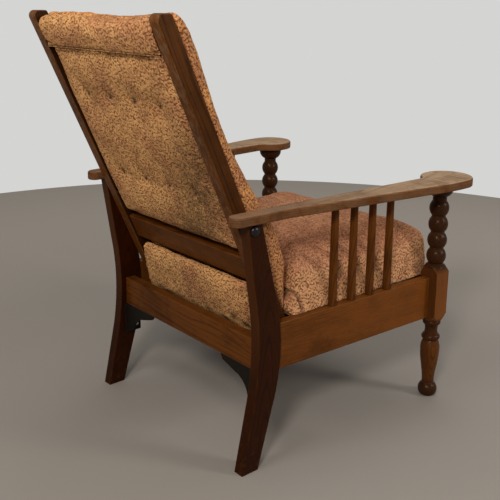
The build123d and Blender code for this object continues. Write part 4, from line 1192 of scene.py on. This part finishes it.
def fabric_material(name, seat=False, warm=0.0):
    """Worn chenille with fine winding lines. The seat's is rosier on top, and warm shares lean to orange."""
    found = bpy.data.materials.get(name)
    if found:
        return found
    fabric = settings().fabric
    material, tree, shader, place = new_material(name)
    made = use(tree, vermicelli_group(), {"Place": place, "Pitch": fabric.squiggle_pitch})
    lean = (1.0, 0.98, 1.35) if seat else (1 + 0.06 * warm, 1 - 0.10 * warm, 1 - 0.25 * warm)
    ground = shaded(fabric.ground, lean)
    base = mix(tree, made["Blotches"], ground, shaded(ground, (0.78, 0.72, 0.68)))
    if seat:
        top = step(tree, facing(tree, "Z"), 0.15, 0.75)
        top = times(tree, top, maths(tree, "MULTIPLY_ADD", made["Patches"], 0.25, 0.75))
        rosy = mix(tree, made["Blotches"], fabric.rose, shaded(fabric.rose, 0.75))
        base = mix(tree, top, base, rosy)
        rusty = times(tree, made["Patches"], 0.35)
        squiggle = mix(tree, top, fabric.squiggle, shaded(fabric.rust, 0.55))
    else:
        beside = step(tree, part_of(tree, place, "X"), -0.12, -0.22)
        beside = times(tree, beside, step(tree, noise_of(tree, place, 26, 3, 0.6), 0.36, 0.60))
        rusty = maths(tree, "MAXIMUM", times(tree, made["Patches"], 0.72), times(tree, beside, 0.8))
        squiggle = fabric.squiggle
    base = mix(tree, rusty, base, fabric.rust)
    base = mix(tree, times(tree, made["Pile"], 0.50), base, fabric.pale)
    base = mix(tree, times(tree, made["Lines"], 0.86), base, squiggle)
    # This attribute darkens the cover where it is really frayed or soiled, and as painted shade in folds,
    # tufts, tucks, under the hem and low on the back
    soil_and_shade = add(tree, "ShaderNodeAttribute", attribute_name="soil_and_shade").outputs["Fac"]
    patchy = step(tree, noise_of(tree, place, 75, 3, 0.65), 0.30, 0.58)
    soil_and_shade = times(tree, soil_and_shade, maths(tree, "MULTIPLY_ADD", patchy, 0.6, 0.4), clamp=True)
    feed(tree, shader, {
        "Base Color": mix(tree, soil_and_shade, base, fabric.soil_and_shade), "Roughness": 0.95, "Specular IOR Level": 0.08,
        "Sheen Weight": 0.08, "Sheen Roughness": 0.45, "Sheen Tint": (0.9, 0.6, 0.35, 1),
    })
    relief(tree, shader, made["Height"], fabric.pile_depth)
    return material


def weave_material(name, threads, light, dark):
    """Plain coarse weave with a number of threads per metre."""
    material, tree, shader, place = new_material(name)
    rate = 2 * math.pi * threads
    across, along = (maths(tree, "SINE", times(tree, part_of(tree, place, axis), rate)) for axis in "XY")
    uneven = maths(tree, "MULTIPLY_ADD", noise_of(tree, place, 260, 3, 0.7), 1.6, -0.8)
    height = maths(tree, "ADD", times(tree, across, along), uneven)
    threads_over = step(tree, height, -0.9, 0.9)
    feed(tree, shader, {"Base Color": mix(tree, threads_over, dark, light), "Roughness": 0.95})
    relief(tree, shader, height, 0.4 * MM)
    return material


def grain_place(tree, place, turn, centre):
    """Turns the object's coordinates so that the wood's heart runs along Z through a centre."""
    turn = Euler([math.radians(angle) for angle in turn])
    mapping = add(tree, "ShaderNodeMapping", {
        "Vector": place, "Location": -(turn.to_matrix() @ Vector(centre)), "Rotation": turn,
    }, vector_type="POINT")
    return mapping.outputs[0]


def wood_material(name, turn, centre, light=None, dark=None, polish=0.30, rings=0.5, wear=0.8, tint=None):
    """Old polished oak. tint() may change its colour by place, and returns it with a mask of bare wood."""
    wood = settings().wood
    material, tree, shader, place = new_material(name)
    grain = use(tree, grain_group(), {
        "Place": grain_place(tree, place, turn, centre),
        "Light": colour(light or wood.light), "Dark": colour(dark or wood.dark),
        "Ring Pitch": wood.ring_pitch, "Ring Strength": rings, "Polish": polish,
    })
    worn = use(tree, wear_group(), {"Place": place, "Radius": wood.edge_radius, "Strength": wear})["Mask"]
    scuffs = use(tree, scuff_group(), {"Place": place})
    shade = times(tree, scuffs["Handled"], 0.35)
    base = mix(tree, shade, grain["Color"], shaded(dark or wood.dark, 0.55))
    base = mix(tree, times(tree, scuffs["Spots"], 0.12), base, wood.rubbed)
    rough = grain["Roughness"]
    if tint:
        base, bare = tint(tree, place, base, grain["Tone"])
        rough = maths(tree, "MULTIPLY_ADD", bare, 0.28, rough)
    feed(tree, shader, {
        "Base Color": mix(tree, worn, base, wood.rubbed),
        "Roughness": maths(tree, "MULTIPLY_ADD", worn, 0.2, rough),
        "Specular IOR Level": 0.12, "Specular Tint": (1.0, 0.72, 0.48, 1),
    })
    relief(tree, shader, grain["Height"], 0.25 * MM, 0.8)
    return material


def paint(node, material):
    """Gives a CAD node its finish."""
    for held in NODES[node].material_slots:
        held.material = material


# Finishes

# Height from the floor in metres, and how dark the turner's polish is there
LEG_POLISH = (
    (0.000, 0.95), (0.034, 0.92), (0.050, 0.62), (0.140, 0.52), (0.156, 0.85), (0.206, 0.90),
    (0.218, 0.15), (0.335, 0.15), (0.350, 0.90), (0.560, 0.95),
)


def banded(tree, value, table, reach):
    """A colour ramp from a table of places and values."""
    node = tree.nodes.new("ShaderNodeValToRGB")
    ramp = node.color_ramp
    for index, (where, level) in enumerate(table):
        stop = ramp.elements[index] if index < 2 else ramp.elements.new(where / reach)
        stop.position = where / reach
        stop.color = (level, level, level, 1)
    feed(tree, node, {0: maths(tree, "DIVIDE", value, reach)})
    return node.outputs[0]


class ARMCHAIR_OT_front_legs(bpy.types.Operator):
    """Finishes the turned front legs"""

    bl_idname = "armchair.front_legs"
    bl_label = "Front Legs"

    def execute(self, context):
        wood = settings().wood

        def tint(tree, place, base, tone):
            # Painted shade: faces turned to the rear are darkened towards the turned polish's colour
            rear = step(tree, facing(tree, "Y"), 0.55, 0.9, 0.0, 0.65)
            polish = banded(tree, part_of(tree, place, "Z"), LEG_POLISH, reach=0.6)
            dark = maths(tree, "MAXIMUM", polish, rear)
            base = mix(tree, tone, shaded(wood.light, 2.0), base)
            deep = mix(tree, times(tree, tone, 0.5), wood.turned, shaded(wood.turned, 0.4))
            return mix(tree, dark, base, deep), times(tree, dark, -0.35)

        for side, sign in SIDES:
            material = wood_material(
                f"oak_front_leg_{side}", (0, 2.5 * sign, 0), (sign * 0.345, -0.33, 0.3),
                rings=0.45, polish=0.26, wear=0.5, tint=tint,
            )
            paint(f"front_leg_{side}", material)
        return {"FINISHED"}


# The rear legs' red brown as shares of the light oak
LEG_SHADE = (0.26, 0.15, 0.04)


class ARMCHAIR_OT_rear_legs(bpy.types.Operator):
    """Finishes the sawn rear legs"""

    bl_idname = "armchair.rear_legs"
    bl_label = "Rear Legs"

    def execute(self, context):
        wood = settings().wood

        def tint(tree, place, base, tone):
            height = part_of(tree, place, "Z")
            foot = step(tree, height, 0.16, 0.0)
            rub = times(tree, foot, step(tree, noise_of(tree, place, 60, 3, 0.7), 0.50, 0.70))
            # Painted light: faces turned to the rear are lightened above the foot
            rear = step(tree, facing(tree, "Y"), 0.4, 0.8, 0.0, 0.28)
            rear = times(tree, rear, step(tree, height, 0.12, 0.40))
            base = mix(tree, rear, base, wood.light)
            return mix(tree, times(tree, rub, 0.12), base, wood.rubbed), times(tree, rub, 0.3)

        for side, sign in SIDES:
            material = wood_material(
                f"oak_rear_leg_{side}", (-2.0, 4.5 * sign, 0), (sign * 0.235, 0.185, 0.27),
                light=shaded(wood.light, LEG_SHADE), dark=shaded(wood.dark, 0.4),
                rings=0.55, polish=0.36, wear=0.45, tint=tint,
            )
            paint(f"rear_leg_{side}", material)
        return {"FINISHED"}


class ARMCHAIR_OT_rails(bpy.types.Operator):
    """Finishes the side rails, the rear rail and the front rail"""

    bl_idname = "armchair.rails"
    bl_label = "Rails"

    def execute(self, context):
        wood = settings().wood

        def tint(tree, place, base, tone):
            # Painted light: the side rails grow lighter and more golden towards the front
            front = step(tree, part_of(tree, place, "Y"), 0.10, -0.32)
            golden = mix(tree, tone, shaded(wood.light, 1.9), wood.light)
            return mix(tree, times(tree, front, 0.55), base, golden), times(tree, front, 0.1)

        for side, sign in SIDES:
            material = wood_material(
                f"oak_side_rail_{side}", (88.6, 0, 0), (sign * 0.12, 0, 0.52),
                light=shaded(wood.light, 1.35), rings=0.30, polish=0.30, wear=0.6, tint=tint,
            )
            paint(f"side_rail_{side}", material)
        for node, height in (("rear_rail", 0.2), ("front_rail", 0.3)):
            low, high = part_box(node)
            material = wood_material(
                f"oak_{node}", (0, -88.8, 0), (0, (low[1] + high[1]) / 2 - 0.20, height + 0.12),
                light=shaded(wood.light, 1.1), rings=0.3, polish=0.30, wear=0.6,
            )
            paint(node, material)
        return {"FINISHED"}


class ARMCHAIR_OT_arms(bpy.types.Operator):
    """Finishes the worn arms and their spindles"""

    bl_idname = "armchair.arms"
    bl_label = "Arms"

    def execute(self, context):
        wood = settings().wood

        def tint(tree, place, base, tone):
            top = step(tree, facing(tree, "Z"), 0.45, 0.92)
            patchy = step(tree, noise_of(tree, place, 18, 4, 0.65), 0.28, 0.62)
            rear = step(tree, part_of(tree, place, "Y"), 0.20, -0.30)
            bare = times(tree, top, maths(tree, "MULTIPLY_ADD", patchy, 0.45, 0.50))
            bare = times(tree, bare, maths(tree, "MULTIPLY_ADD", rear, 0.65, 0.35))
            bare = maths(tree, "MAXIMUM", bare, times(tree, patchy, 0.15))
            pale = mix(tree, tone, wood.worn, shaded(wood.worn, 0.42))
            return mix(tree, bare, base, pale), bare

        for side, sign in SIDES:
            material = wood_material(
                f"oak_arm_{side}", (89.0, 0, 2.0 * sign), (sign * 0.27, 0, 0.40),
                light=shaded(wood.light, 1.1), rings=0.35, polish=0.34, wear=1.0, tint=tint,
            )
            paint(f"arm_{side}", material)
            for node in NODES:
                if node.startswith("arm_spindle") and node.endswith(side):
                    low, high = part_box(node)
                    centre = ((low[0] + high[0]) / 2 + 0.03, (low[1] + high[1]) / 2, 0.4)
                    finish = wood_material(
                        f"oak_{node}", (0, 1, 0), centre,
                        light=shaded(wood.light, 1.05), rings=0.4, polish=0.28, wear=0.2,
                    )
                    paint(node, finish)
        return {"FINISHED"}


class ARMCHAIR_OT_back_frame(bpy.types.Operator):
    """Finishes the stiles and rails of the back"""

    bl_idname = "armchair.back_frame"
    bl_label = "Back Frame"

    def execute(self, context):
        wood = settings().wood
        lean = math.degrees(settings().padding.back_lean)
        for side, sign in SIDES:
            material = wood_material(
                f"oak_stile_{side}", (lean, 1.2 * sign, 0), (sign * 0.20, 0.30, 0.75),
                light=shaded(wood.light, 1.25), rings=0.45, polish=0.30, wear=1.0,
                tint=lambda tree, place, base, tone: self.weathered_and_shaded(tree, place, base, sign),
            )
            paint(f"back_stile_{side}", material)
        for node in ("back_cross_rail", "back_top_rail", "back_bottom_rail"):
            low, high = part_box(node)
            material = wood_material(
                f"oak_{node}", (0, -89.0, 0), (0, (low[1] + high[1]) / 2 - 0.05, low[2] - 0.02),
                light=shaded(wood.light, 1.1), rings=0.45, polish=0.32, wear=0.7,
            )
            paint(node, material)
        return {"FINISHED"}

    def weathered_and_shaded(self, tree, place, base, sign):
        """Darkens the inner and outer faces of a stile as painted shade, and wears its rear in streaks
        towards the top.
        """
        wood = settings().wood
        # Painted shade on the inner and outer faces
        toward = times(tree, facing(tree, "X"), -sign)
        inner = step(tree, toward, 0.6, 0.95, 0.0, 0.8)
        painted_side_shade = maths(tree, "MAXIMUM", inner, step(tree, toward, -0.6, -0.95, 0.0, 0.45))
        streaks = step(tree, noise_of(tree, place, 1, 3, 0.6, stretch=(150, 150, 12)), 0.42, 0.64)
        high = step(tree, part_of(tree, place, "Z"), 0.45, 0.95, 0.35, 0.85)
        bare = times(tree, times(tree, streaks, high), step(tree, facing(tree, "Y"), 0.4, 0.8))
        base = mix(tree, times(tree, bare, 0.5), base, shaded(wood.worn, 0.40))
        return mix(tree, painted_side_shade, base, shaded(wood.dark, 0.15)), times(tree, painted_side_shade, 0.5)


class ARMCHAIR_OT_seat_frame(bpy.types.Operator):
    """Finishes the seat frame's beech and the runners"""

    bl_idname = "armchair.seat_frame"
    bl_label = "Seat Frame"

    def execute(self, context):
        light, dark = (0.33, 0.20, 0.10), (0.19, 0.11, 0.05)
        turns = {"X": (0, -89, 0), "Y": (89, 0, 0)}
        members = {
            "seat_front_member": "X", "seat_rear_member": "X", "seat_side_member_left": "Y",
            "seat_side_member_right": "Y", "seat_runner_left": "Y", "seat_runner_right": "Y",
        }
        for node, axis in members.items():
            low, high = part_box(node)
            centre = [(a + b) / 2 - 0.04 for a, b in zip(low, high)]
            material = wood_material(
                f"beech_{node}", turns[axis], centre, light=light, dark=dark, polish=0.55, rings=0.3, wear=0.2
            )
            paint(node, material)
        return {"FINISHED"}


def metal_material(name, base, marks, rough, metallic, worn, wear, specular=0.5):
    """Metal with a mottled surface that shows through its finish along edges."""
    material, tree, shader, place = new_material(name)
    mottle = noise_of(tree, place, 320, 3, 0.6)
    shade = mix(tree, step(tree, mottle, 0.40, 0.68), base, marks)
    edge = use(tree, wear_group(), {"Place": place, "Radius": 1.2 * MM, "Strength": wear})["Mask"]
    feed(tree, shader, {
        "Base Color": mix(tree, edge, shade, worn),
        "Roughness": maths(tree, "MULTIPLY_ADD", mottle, 0.3, rough - 0.15),
        "Metallic": metallic, "Specular IOR Level": specular,
    })
    relief(tree, shader, mottle, 0.15 * MM, 0.5)
    return material


class ARMCHAIR_OT_fittings(bpy.types.Operator):
    """Finishes the iron, the bolts, the screws and the springs"""

    bl_idname = "armchair.fittings"
    bl_label = "Fittings"

    def execute(self, context):
        iron = metal_material(
            "black_iron_finish", (0.006, 0.005, 0.004), (0.013, 0.008, 0.005), rough=0.55, metallic=0.0,
            worn=(0.035, 0.028, 0.022), wear=0.5, specular=0.10,
        )
        black = metal_material(
            "black_bolt_finish", (0.005, 0.004, 0.004), (0.009, 0.008, 0.007), rough=0.32, metallic=0.0,
            worn=(0.02, 0.017, 0.015), wear=0.4, specular=0.25,
        )
        steel = metal_material(
            "steel_finish", (0.48, 0.46, 0.43), (0.32, 0.28, 0.24), rough=0.38, metallic=1.0,
            worn=(0.62, 0.60, 0.57), wear=0.6,
        )
        finishes = {
            iron: ("corner_bracket_left", "corner_bracket_right", "slot_plate_left", "slot_plate_right"),
            black: (
                "pivot_bolt_left", "pivot_bolt_right", "slot_pins", "pivot_spacers",
                "pivot_nut_washers", "pivot_nuts",
            ),
            steel: ("bracket_screws", "runner_screws", "plate_screws", "slot_pin_washers", "seat_springs"),
        }
        for material, nodes in finishes.items():
            for node in nodes:
                paint(node, material)
        material, tree, shader, place = new_material("waxed_thread")
        twist = noise_of(tree, place, 1400, 2, 0.7)
        thread = mix(tree, step(tree, twist, 0.4, 0.6), (0.02, 0.010, 0.006), (0.05, 0.025, 0.012))
        feed(tree, shader, {"Base Color": thread, "Roughness": 0.8})
        relief(tree, shader, twist, 0.3 * MM)
        paint("tuft_ties", material)
        return {"FINISHED"}


# Stage

# Each lamp's place, aim, size, power and colour
LAMPS = {
    "Key": ((-1.9, 2.5, 2.4), (0, 0, 0.45), 0.6, 76, (1.0, 0.97, 0.93)),
    "Back": ((-0.2, 1.10, 1.75), (0, 0.4, 0.85), 0.5, 8, (1.0, 0.97, 0.94)),
    "Fill": ((-2.4, -1.5, 1.7), (0, 0, 0.45), 0.7, 30, (1.0, 0.98, 0.96)),
    "Top": ((0.3, -0.9, 3.0), (0, 0, 0.5), 2.0, 18, (1.0, 1.0, 1.0)),
}


def area_light(name, place, aim, size, power, tone):
    data = bpy.data.lights.new(name, "AREA")
    data.shape = "DISK"
    data.size = size
    data.energy = power
    data.color = tone
    lamp = bpy.data.objects.new(name, data)
    lamp.location = place
    lamp.rotation_euler = (Vector(aim) - Vector(place)).to_track_quat("-Z", "Y").to_euler()
    bpy.context.scene.collection.objects.link(lamp)


class ARMCHAIR_OT_stage(bpy.types.Operator):
    """Sets up the camera, the lights, the floor and the backdrop"""

    bl_idname = "armchair.stage"
    bl_label = "Stage"

    def execute(self, context):
        stage = settings().stage
        scene = context.scene
        data = bpy.data.cameras.new("Camera")
        data.sensor_width = 36
        data.lens = stage.lens
        data.shift_x, data.shift_y = stage.shift
        camera = bpy.data.objects.new("Camera", data)
        turn = Matrix.Rotation(stage.camera_heading, 3, "Z")
        turn = turn @ Matrix.Rotation(math.pi / 2 - stage.camera_pitch, 3, "X")
        turn = turn @ Matrix.Rotation(stage.camera_roll, 3, "Z")
        camera.location = stage.camera_place
        camera.rotation_euler = turn.to_euler()
        scene.collection.objects.link(camera)
        scene.camera = camera

        for name, values in LAMPS.items():
            area_light(name, *values)

        mesh = bmesh.new()
        bmesh.ops.create_circle(mesh, cap_ends=True, segments=128, radius=2.48)
        floor = piece_from(mesh, "floor")
        material, tree, shader, place = new_material("floor_finish")
        tone = noise_of(tree, place, 3, 2)
        # Painted light: the floor is darker near the chair and lighter towards its edge
        far = step(tree, vectors(tree, "LENGTH", {0: place}), 0.5, 2.2)
        base = mix(tree, tone, stage.floor, shaded(stage.floor, 0.94))
        base = mix(tree, far, base, shaded(stage.floor, 1.5))
        feed(tree, shader, {"Base Color": base, "Roughness": 0.7})
        floor.data.materials.append(material)

        world = bpy.data.worlds.new("Studio")
        world.use_nodes = True
        scene.world = world
        tree = world.node_tree
        light = tree.nodes["Background"]
        feed(tree, light, {"Color": (1.0, 0.97, 0.93, 1), "Strength": 0.28})
        seen = add(tree, "ShaderNodeBackground", {"Color": colour(stage.backdrop), "Strength": 1.0})
        path = add(tree, "ShaderNodeLightPath")
        direct = maths(tree, "MAXIMUM", path.outputs["Is Camera Ray"], path.outputs["Is Transmission Ray"])
        both = add(tree, "ShaderNodeMixShader", {0: direct, 1: light.outputs[0], 2: seen.outputs[0]})
        feed(tree, tree.nodes["World Output"], {"Surface": both.outputs[0]})
        scene.view_settings.view_transform = "Standard"
        return {"FINISHED"}


MAKERS = (
    ARMCHAIR_OT_stage, ARMCHAIR_OT_front_legs, ARMCHAIR_OT_rear_legs, ARMCHAIR_OT_rails, ARMCHAIR_OT_arms,
    ARMCHAIR_OT_back_frame, ARMCHAIR_OT_seat_frame, ARMCHAIR_OT_fittings, ARMCHAIR_OT_seat_cushion,
    ARMCHAIR_OT_seat_border, ARMCHAIR_OT_back_cushion, ARMCHAIR_OT_upper_panel, ARMCHAIR_OT_lower_panel,
    ARMCHAIR_OT_hood, ARMCHAIR_OT_buttons, ARMCHAIR_OT_seat_base,
)


class ARMCHAIR_PT_panel(bpy.types.Panel):
    """Lists the settings and the pieces of the armchair"""

    bl_idname = "ARMCHAIR_PT_panel"
    bl_label = "Reclining Armchair"
    bl_space_type = "VIEW_3D"
    bl_region_type = "UI"
    bl_category = "Armchair"

    def draw(self, context):
        for name in ("fabric", "padding", "wood", "stage"):
            box = self.layout.box()
            box.label(text=name.capitalize())
            part = getattr(settings(), name)
            for field in part.__annotations__:
                box.prop(part, field)
        for maker in MAKERS:
            self.layout.operator(maker.bl_idname)


CLASSES = (
    FabricSettings, PaddingSettings, WoodSettings, StageSettings, ArmchairSettings,
    *MAKERS, ARMCHAIR_PT_panel,
)


def register():
    for item in CLASSES:
        bpy.utils.register_class(item)
    bpy.types.Scene.armchair = PointerProperty(type=ArmchairSettings)


def unregister():
    del bpy.types.Scene.armchair
    for item in reversed(CLASSES):
        bpy.utils.unregister_class(item)


def main():
    register()
    for maker in MAKERS:
        group_name, operator = maker.bl_idname.split(".")
        getattr(getattr(bpy.ops, group_name), operator)()


if __name__ == "__main__":
    main()
